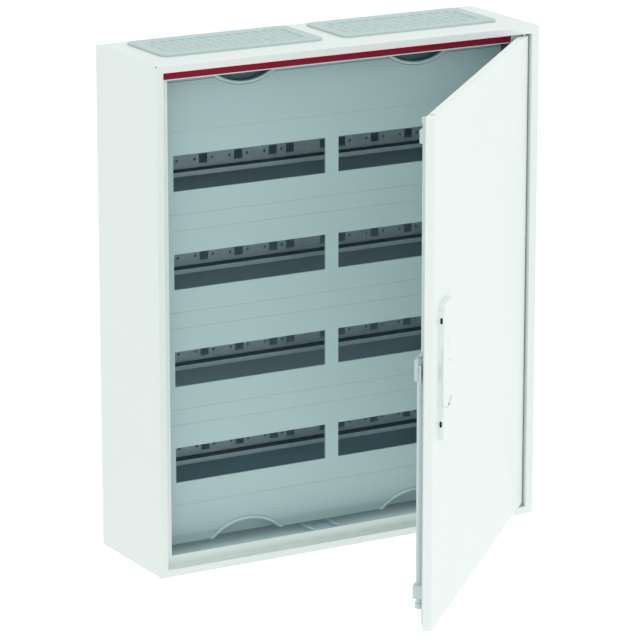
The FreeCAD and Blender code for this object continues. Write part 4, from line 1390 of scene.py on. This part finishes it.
# ---------------------------------------------------------------- inside of the cabinet
@dataclass
class RailFrame:
    """Device rails on their carriers, with screws."""

    shop: Workshop
    rows: int = 4
    steel: float = 1.5 * MM
    channel: float = 25 * MM

    def build(self) -> None:
        """Builds and hangs the rails, carriers and screws."""
        punches, screws = PunchedRail(), ScrewRow()
        for row in range(self.rows):
            self._rail(row, punches)
        for hand in ("left", "right"):
            node = hand + "_rail_carrier"
            self.shop.hang(
                new_object(hand + "_carrier", node_copy(node)), Body.CABINET, CARRIER_ZINC, [node],
                0.3 * MM,
            )
        low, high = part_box("rail_screws")
        points = bmesh.new()
        for row in range(self.rows):
            level = sum(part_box("din_rail_%d" % (row + 1)), Vector()).z / 2
            for x in (low.x + 4.5 * MM, high.x - 4.5 * MM):
                points.verts.new((x, low.y + 3 * MM, level))
        heads = new_object("rail_screw_set", points)
        screws.grow(heads, self.shop.material(FASTENER))
        self.shop.hang(heads, Body.CABINET, FASTENER, ["rail_screws"])

    def _rail(self, row: int, punches: PunchedRail) -> None:
        """Rolls one rail profile and punches it.

        Args:
            row: row number from the top, from 0.
            punches: recipe of the punchings.
        """
        node = "din_rail_%d" % (row + 1)
        low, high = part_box(node)
        level, half, steel = (low.z + high.z) / 2, self.channel / 2, self.steel
        front, back, lip = low.y, high.y, (high.z - low.z) / 2
        upper = [
            (back, half), (front + steel, half), (front + steel, lip), (front, lip),
            (front, half - steel), (back - steel, half - steel),
        ]
        section = upper + [(deep, -up) for deep, up in reversed(upper)]
        radii = [1.6 * MM, 0.4 * MM, 0.4 * MM, 0.4 * MM, 1.6 * MM, 0.4 * MM]
        chain = eased_chain([(deep, level + up) for deep, up in section], radii + radii[::-1], True, 3)
        bm = bmesh.new()
        prism(bm, chain, along_x, low.x, high.x)
        rail = new_object("device_rail_%d" % (row + 1), bm)
        punches.grow(rail, self.shop.material(RAIL_ZINC), level=level, web=back - steel / 2)
        self.shop.hang(rail, Body.CABINET, RAIL_ZINC, [node])
        # Painted shade: the lower leg's upward faces inside the channel get the dark finish.
        self.shop.second_finish(
            rail, RAIL_CHANNEL_PAINTED_SHADE,
            lambda middle, normal: normal.z > 0.5 and half - 3 * MM < level - middle.z < half,
        )
        # Painted highlight: the lower lip's front faces get the lighter zinc.
        self.shop.second_finish(
            rail, RAIL_LIP_PAINTED_HIGHLIGHT,
            lambda middle, normal: level - middle.z > half - steel and middle.y < front + 0.5 * MM,
        )


@dataclass
class TouchCover:
    """Grey touch cover in sections, with slots, finger recesses and supports."""

    shop: Workshop
    rows: int = 4
    slot_wide: float = 216 * MM
    slot_high: float = 45.4 * MM
    post: float = 19 * MM
    thick: float = 2.5 * MM
    step: float = 10.6 * MM
    step_deep: float = 1.2 * MM
    grip_x: float = 125 * MM
    grip_half: float = 54 * MM
    grip_deep: float = 22.7 * MM
    grip_rim: float = 5 * MM
    tongue: float = 0.17 * MM
    seam_round: float = 0.3 * MM

    def build(self) -> None:
        """Builds and hangs every section and support."""
        for row in range(self.rows):
            self._row(row)
        for row in range(self.rows - 1):
            node = "cover_bridge_%d" % (row + 1)
            low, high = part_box(node)
            bm = bmesh.new()
            plate_with_windows(
                bm, (low.x, high.x), (low.z - self.tongue, high.z + self.tongue), set(), low.y, high.y
            )
            self.shop.hang(
                new_object("plain_section_%d" % (row + 1), bm), Body.CABINET, COVER_GREY, [node],
                self.seam_round,
            )
        self._end("upper", 1)
        self._end("lower", -1)
        for node in ("cover_bar_left", "cover_bar_right", "cover_pillars"):
            self.shop.hang(
                new_object(node.replace("cover", "support"), node_copy(node)), Body.CABINET, SUPPORT_GREY,
                [node], 0.5 * MM,
            )

    def _row(self, row: int) -> None:
        """Builds the section of one row with two slots.

        Args:
            row: row number from the top, from 0.
        """
        node = "row_cover_%d" % (row + 1)
        low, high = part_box(node)
        level, near = (low.z + high.z) / 2, self.post / 2
        far = near + self.slot_wide
        bm = bmesh.new()
        plate_with_windows(
            bm, (low.x, -far, -near, near, far, high.x),
            (
                low.z - self.tongue, level - self.slot_high / 2, level + self.slot_high / 2,
                high.z + self.tongue,
            ),
            {(1, 1), (3, 1)}, low.y, high.y,
        )
        self.shop.hang(
            new_object("row_section_%d" % (row + 1), bm), Body.CABINET, COVER_GREY, [node], self.seam_round,
        )

    def _end(self, end: str, sign: int) -> None:
        """Builds an end section with its step, recesses and recess rims.

        Args:
            end: "upper" or "lower".
            sign: 1 at the top, -1 at the bottom.
        """
        node = end + "_end_cover"
        low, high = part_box(node)
        edge, inner = (high.z, low.z) if sign > 0 else (low.z, high.z)
        inner -= sign * self.tongue
        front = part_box("row_cover_1")[0].y
        back = front + self.thick
        section = [
            (back, inner), (front, inner), (front, edge - sign * self.step),
            (front + self.step_deep, edge - sign * self.step), (front + self.step_deep, edge), (back, edge),
        ]
        bm = bmesh.new()
        prism(bm, section, along_x, low.x, high.x)
        cover = new_object(end + "_section", bm)
        radius = (self.grip_half ** 2 + self.grip_deep ** 2) / (2 * self.grip_deep)
        centre = edge - sign * self.grip_deep + sign * radius
        cutter = bmesh.new()
        for x in (-self.grip_x, self.grip_x):
            drum(
                cutter, Vector((x, front - 5 * MM, centre)), Vector((0, 1, 0)),
                [(radius, 0.0), (radius, 12 * MM)], 120,
            )
        carve(cover, cutter)
        self.shop.hang(cover, Body.CABINET, COVER_GREY, [node], 0.4 * MM)
        rims = bmesh.new()
        proud, deep = low.y, high.y
        outer, inside = radius, radius - self.grip_rim
        profile = [
            (outer - 0.5 * MM, back), (outer - 0.5 * MM, front + 0.5 * MM), (outer - 1.1 * MM, proud),
            (inside + 0.6 * MM, proud), (inside, proud + 2 * MM), (inside, deep),
            (inside + 1.6 * MM, deep), (inside + 1.6 * MM, back),
        ]
        radii = [0.2 * MM, 0.4 * MM, 1.6 * MM, 1.8 * MM, 1.4 * MM, 0.2 * MM, 0.2 * MM, 0.3 * MM]
        chain = eased_chain(profile, radii, True, 4)
        reach = math.asin(min(1.0, self.grip_half / radius))
        steps = 48
        for x in (-self.grip_x, self.grip_x):
            turns = [-reach + 2 * reach * index / steps for index in range(steps + 1)]

            def at(turn: float, distance: float, y: float, middle: float = x) -> Vector:
                """Puts a point of the recess in space, no further than the section's edge."""
                level = centre - sign * distance * math.cos(turn)
                return Vector((middle + distance * math.sin(turn), y, sign * min(sign * level, sign * edge)))

            loft(rims, [[at(turn, r, y) for r, y in chain] for turn in turns], False)
            floor = [at(turn, inside + 0.5 * MM, 0.0) for turn in turns]
            loft(
                rims,
                [[Vector((p.x, level, p.z)) for p in floor] for level in (deep - 2.4 * MM, deep - 0.2 * MM)],
                False,
            )
        # Painted highlight: the rims are hung in the lighter grey.
        ring = self.shop.hang(new_object(end + "_recess_rims", rims), Body.CABINET, RECESS_RIM_PAINTED_HIGHLIGHT, [])
        # Painted shade: the upper recesses' hollow faces are dark; the lower hollows keep the cover's grey.
        hollow = RECESS_HOLLOW_PAINTED_SHADE if sign > 0 else COVER_GREY
        self.shop.second_finish(ring, hollow, lambda middle, _: middle.y > front + 0.6 * MM)


@dataclass
class Terminals:
    """Neutral and earth bars with screws, holders and the earth stud."""

    shop: Workshop
    count: int = 13
    pitch: float = 11 * MM

    def build(self) -> None:
        """Builds and hangs the bars, screws, holders and stud."""
        screws = ScrewRow()
        for kind in ("neutral", "earth"):
            bar = kind + "_bar"
            self.shop.hang(
                new_object(kind + "_terminal_bar", node_copy(bar)), Body.CABINET, BRASS, [bar], 0.3 * MM,
            )
            holder = kind + "_holder"
            self.shop.hang(
                new_object(kind + "_bar_holder", node_copy(holder)), Body.CABINET, HOLDER, [holder],
                0.4 * MM,
            )
            low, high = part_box(kind + "_screws")
            middle = (low + high) / 2
            points = bmesh.new()
            for index in range(self.count):
                x = middle.x + (index - self.count // 2) * self.pitch
                points.verts.new((x, low.y + 1.6 * MM, middle.z))
            heads = new_object(kind + "_screw_set", points)
            screws.grow(
                heads, self.shop.material(FASTENER), head_radius=2.5 * MM, head_height=1.6 * MM,
                shank_radius=1.8 * MM, shank_length=3.5 * MM,
            )
            self.shop.hang(heads, Body.CABINET, FASTENER, [kind + "_screws"])
        self.shop.hang(
            new_object("earth_post", node_copy("earth_stud")), Body.CABINET, FASTENER, ["earth_stud"],
            0.3 * MM,
        )


# ---------------------------------------------------------------- door
@dataclass
class Door:
    """Door pan with its seal, hinge parts and lock."""

    shop: Workshop
    steel: float = 1.2 * MM
    lip: float = 9 * MM
    fold: float = 1.8 * MM
    corner: float = 2.0 * MM
    inset: float = 6 * MM
    pin_hole: float = 2.3 * MM
    spindle_hole: float = 10.3 * MM
    screw_head: float = 4.5 * MM
    screw_tall: float = 3 * MM
    screw_shank: float = 6 * MM
    case_cover: float = 4.3 * MM
    slit_at: float = 9 * MM
    slit_wide: float = 5 * MM
    slit_from: float = 3 * MM
    slit_to: float = 13 * MM

    def build(self) -> None:
        """Builds and hangs every piece of the door."""
        self._pan()
        self._seal()
        steel = (
            ("upper_hinge_block", 0.4), ("lower_hinge_block", 0.4), ("upper_hinge_pin", 0.4),
            ("lower_hinge_pin", 0.4),
        )
        for node, width in steel:
            finish = LOCK_STEEL if "block" in node else FASTENER
            self._copy(node, Body.DOOR, finish, width)
        for node in ("upper_rod_guide", "lower_rod_guide"):
            self._copy(node, Body.DOOR, LOCK_GREY, 0.7)
        self._lock_case()
        self._copy("upper_lock_rod", Body.UPPER_ROD, ROD_GREY, 0.6)
        self._copy("lower_lock_rod", Body.LOWER_ROD, ROD_GREY, 0.6)
        self._copy("side_bolt", Body.BOLT, LOCK_STEEL, 0.6)
        self._screws()

    def _copy(self, node: str, body: Body, finish: Finish, width: float) -> None:
        """Hangs a rounded copy of a part."""
        self.shop.hang(new_object(node + "_piece", node_copy(node)), body, finish, [node], width * MM)

    def _lock_case(self) -> None:
        """Copies the lock case with a pale cover over its back."""
        swing = self.shop.swing
        low, high = swing.shut_box("lock_case")
        seam = high.y - self.case_cover
        bm = node_copy("lock_case")
        point = swing.to_open @ Vector((low.x, seam, low.z))
        normal = (swing.to_open.to_3x3() @ Vector((0, 1, 0))).normalized()
        bmesh.ops.bisect_plane(
            bm, geom=bm.verts[:] + bm.edges[:] + bm.faces[:], plane_co=point, plane_no=normal,
        )
        case = self.shop.hang(new_object("lock_housing", bm), Body.DOOR, LOCK_SHADE, ["lock_case"], 0.7 * MM)
        self.shop.second_finish(case, LOCK_GREY, lambda middle, _: (swing.to_shut @ middle).y > seam)

    def _pan(self) -> None:
        """Folds the door pan and drills it."""
        low, high = self.shop.swing.shut_box("door_panel")
        x, z, front, back, steel = high.x, high.z, low.y, high.y, self.steel
        inset = self.inset
        profile = [
            (x - inset, z - inset, front, self.corner), (x, z, front, self.corner), (x, z, back, self.corner),
            (x - self.lip, z - self.lip, back, 0.8 * MM),
            (x - self.lip, z - self.lip, back - steel, 0.8 * MM),
            (x - steel, z - steel, back - steel, 1.0 * MM), (x - steel, z - steel, front + steel, 1.0 * MM),
            (x - inset, z - inset, front + steel, 1.0 * MM),
        ]
        radii = [0, self.fold, 1.2 * MM, 0.4 * MM, 0.4 * MM, 0.6 * MM, 0.8 * MM, 0]
        bm = bmesh.new()
        swept_frame(bm, eased_chain(profile, radii, False), facing_front, False)
        pan = new_object("door_pan", bm)
        cutter = bmesh.new()
        pin_low, pin_high = self.shop.swing.shut_box("upper_hinge_pin")
        pin = (pin_low + pin_high) / 2
        drum(
            cutter, Vector((pin.x, pin.y, -high.z - 5 * MM)), Vector((0, 0, 1)),
            [(self.pin_hole, 0.0), (self.pin_hole, 2 * high.z + 10 * MM)], 20,
        )
        hub_low, hub_high = self.shop.swing.shut_box("spindle")
        hub = (hub_low + hub_high) / 2
        drum(
            cutter, Vector((hub.x, front - 5 * MM, 0)), Vector((0, 1, 0)),
            [(self.spindle_hole, 0.0), (self.spindle_hole, 8 * MM)], 32,
        )
        slit = [
            (low.x + self.slit_at, front + self.slit_from),
            (low.x + self.slit_at + self.slit_wide, front + self.slit_from),
            (low.x + self.slit_at + self.slit_wide, front + self.slit_to),
            (low.x + self.slit_at, front + self.slit_to),
        ]
        for sign in (-1, 1):
            prism(
                cutter, slit, lambda a, b, c: Vector((a, b, c)),
                *sorted((sign * (z - 2 * MM), sign * (z + 1 * MM))),
            )
        carve(pan, cutter)
        self.shop.hang(pan, Body.DOOR, DOOR_WHITE, ["door_panel"], swung=True)

    def _seal(self) -> None:
        """Sweeps the foam bead round the door's lip."""
        low, high = self.shop.swing.shut_box("door_seal")
        x, z, base, crown, wide = high.x, high.z, low.y, high.y, 5 * MM
        profile = [
            (x, z, base, 7 * MM), (x - 0.3 * MM, z - 0.3 * MM, crown, 7 * MM),
            (x - wide + 0.3 * MM, z - wide + 0.3 * MM, crown, 3 * MM), (x - wide, z - wide, base, 3 * MM),
        ]
        chain = eased_chain(profile, [0.2 * MM, 1.9 * MM, 1.9 * MM, 0.2 * MM], True, 5)
        bm = bmesh.new()
        swept_frame(bm, chain, facing_front, True)
        self.shop.hang(new_object("foam_seal", bm), Body.DOOR, SEAL_FOAM, ["door_seal"], swung=True)

    def _screws(self) -> None:
        """Puts the handle screws inside the door."""
        low, high = self.shop.swing.shut_box("handle_screws")
        radius = self.screw_head
        x, level = (low.x + high.x) / 2, high.y - self.screw_tall
        points = bmesh.new()
        for z in (low.z + radius, high.z - radius):
            points.verts.new(self.shop.swing.to_open @ Vector((x, level, z)))
        heads = new_object("handle_screw_set", points)
        joint = next(item for item in frame["joints"] if item["name"] == "door_hinge")
        turn = math.pi - math.radians(joint["range_deg"][0])
        ScrewRow().grow(heads, self.shop.material(FASTENER), turn=turn, shank_length=self.screw_shank)
        self.shop.hang(heads, Body.DOOR, FASTENER, ["handle_screws"])


@dataclass
class Handle:
    """Plate and flush lever on the door, with the spindle and lock hub."""

    shop: Workshop
    plate_rise: float = 1 * MM
    slot_level: float = 63 * MM
    slot_reach: float = 4.2 * MM
    slot_back: float = 3.1 * MM
    slot_half_thick: float = 1.6 * MM
    slot_deep: float = 2.2 * MM
    slot_skin: float = 0.3 * MM
    gap_margin: float = 0.6 * MM

    def build(self) -> None:
        """Builds and hangs the plate, lever, spindle and hub."""
        plate = new_object("handle_base", node_copy("handle_plate"))
        self.shop.hang(plate, Body.DOOR, HANDLE_WHITE, ["handle_plate"], 0.35 * MM)
        swing = self.shop.swing
        low, high = swing.shut_box("handle_plate")

        def in_slot(middle: Vector, _: Vector) -> bool:
            """Tells whether a face is inside a release slot.

            Args:
                middle: centre of the face.

            Returns:
                Whether the face is inside.
            """
            point = swing.to_shut @ middle
            level = abs(point.z - (low.z + high.z) / 2 - self.plate_rise)
            sunk = min(point.x - low.x, high.x - point.x)
            return (
                self.slot_skin < sunk < self.slot_deep
                and abs(level - self.slot_level) < self.slot_reach
                and abs(point.y - high.y + self.slot_back) < self.slot_half_thick
            )

        # Painted shade: faces inside the release slots are painted near black.
        self.shop.second_finish(plate, RELEASE_SLOT_PAINTED_SHADE, in_slot)
        near, far = swing.shut_box("handle_lever")
        margin = self.gap_margin

        def in_gap(middle: Vector, normal: Vector) -> bool:
            """Tells whether a face is a side of the gap round the lever.

            Args:
                middle: centre of the face.
                normal: its normal.

            Returns:
                Whether the face is in the gap.
            """
            point = swing.to_shut @ middle
            turned = swing.to_shut.to_3x3() @ normal
            across = abs(turned.y) < 0.3 and abs(turned.z) > 0.4
            inside = near.x - margin < point.x < far.x + margin and near.z - margin < point.z < far.z + margin
            return across and inside and low.x + margin < point.x < high.x - margin and point.y < high.y

        # Painted shade: the plate's faces along the gap round the lever are darkened for the shadow in the
        # gap.
        self.shop.second_finish(plate, LEVER_GAP_PAINTED_SHADE, in_gap)
        lever = new_object("swing_lever", node_copy("handle_lever"))
        self.shop.hang(lever, Body.HANDLE, HANDLE_WHITE, ["handle_lever"], 0.3 * MM)
        # Painted shade: the lever's own faces along the gap are darkened as well.
        self.shop.second_finish(lever, LEVER_GAP_PAINTED_SHADE, in_gap)
        self.shop.hang(
            new_object("handle_spindle", node_copy("spindle")), Body.HANDLE, LOCK_STEEL, ["spindle"],
            0.4 * MM,
        )
        self.shop.hang(
            new_object("lock_pinion", node_copy("lock_hub")), Body.HANDLE, LOCK_GREY, ["lock_hub"],
            0.3 * MM,
        )


# ---------------------------------------------------------------- studio
@dataclass
class Studio:
    """Pale floor, soft lights and the camera."""

    focal: float = 218.7
    camera_place: tuple[float, float, float] = (-2.3880, -4.2530, 1.2286)
    camera_aim: tuple[float, float, float] = (-0.0352, -0.1399, -0.0268)
    sensor: float = 36.0
    floor_level: float = -0.95
    floor_half: float = 30.0
    floor_glow: float = 0.24
    air_glow: float = 0.83
    lights: tuple[tuple[str, tuple[float, float, float], float, float], ...] = (
        ("front_light", (1.6, -4.2, 1.8), 3.0, 10.0),
        ("top_light", (0.2, -0.8, 4.0), 3.5, 34.0),
    )
    strip_size: tuple[float, float] = (0.48, 0.012)
    strip_power: float = 0.05
    strip_off: float = 6 * MM

    def build(self) -> None:
        """Builds the floor, lights, surroundings and camera."""
        self._floor()
        self._lights()
        self._camera()

    def _floor(self) -> None:
        """Lays the pale floor well below the cabinet."""
        bm = bmesh.new()
        size = self.floor_half
        bm.faces.new(
            [
                bm.verts.new((x, y, self.floor_level))
                for x, y in ((-size, -size), (size, -size), (size, size), (-size, size))
            ]
        )
        floor = new_object("studio_floor", bm)
        material = bpy.data.materials.new("studio_floor_pale")
        material.use_nodes = True
        shader = material.node_tree.nodes["Principled BSDF"]
        shader.inputs["Base Color"].default_value = (0.95, 0.95, 0.95, 1)
        shader.inputs["Roughness"].default_value = 0.9
        shader.inputs["Specular IOR Level"].default_value = 0.1
        shader.inputs["Emission Color"].default_value = (1, 1, 1, 1)
        shader.inputs["Emission Strength"].default_value = self.floor_glow
        floor.data.materials.append(material)

    def _lights(self) -> None:
        """Hangs two large soft lights and a faint strip behind the cover's lower edge."""
        world = bpy.data.worlds.new("studio_air")
        world.use_nodes = True
        world.node_tree.nodes["Background"].inputs[0].default_value = (0.98, 1.0, 0.995, 1)
        world.node_tree.nodes["Background"].inputs[1].default_value = self.air_glow
        bpy.context.scene.world = world
        for name, place, size, power in self.lights:
            data = bpy.data.lights.new(name, "AREA")
            data.shape = "DISK"
            data.size = size
            data.energy = power
            light = bpy.data.objects.new(name, data)
            light.location = place
            light.rotation_euler = (Vector((0, 0, 0)) - Vector(place)).to_track_quat("-Z", "Y").to_euler()
            bpy.context.scene.collection.objects.link(light)
        data = bpy.data.lights.new("inner_strip", "AREA")
        data.shape = "RECTANGLE"
        data.size, data.size_y = self.strip_size
        data.energy = self.strip_power
        data.color = (0.80, 0.95, 1.0)
        strip = bpy.data.objects.new("inner_strip", data)
        low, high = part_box("lower_end_cover")
        strip.location = (0.0, high.y + self.strip_off, low.z + self.strip_off)
        strip.visible_camera = False
        bpy.context.scene.collection.objects.link(strip)

    def _camera(self) -> None:
        """Sets the camera on its view of the cabinet."""
        data = bpy.data.cameras.new("studio_camera")
        data.sensor_width = self.sensor
        data.lens = self.focal
        data.clip_end = 100.0
        camera = bpy.data.objects.new("studio_camera", data)
        camera.location = self.camera_place
        aim = Vector(self.camera_aim) - Vector(self.camera_place)
        camera.rotation_euler = aim.to_track_quat("-Z", "Y").to_euler()
        bpy.context.scene.collection.objects.link(camera)
        bpy.context.scene.camera = camera
        bpy.context.scene.view_settings.view_transform = "Standard"
        bpy.context.scene.view_settings.look = "None"


def main() -> None:
    logging.basicConfig(level=logging.INFO, format="%(message)s")
    shop = Workshop()
    for assembly in (
        Enclosure(shop), CableFlanges(shop), RailFrame(shop), TouchCover(shop), Terminals(shop),
        Door(shop), Handle(shop),
    ):
        assembly.build()
        log.info("%s ready", type(assembly).__name__)
    Studio().build()
    log.info("%d pieces", shop.count)
    bpy.context.view_layer.update()


if __name__ == "__main__":
    main()
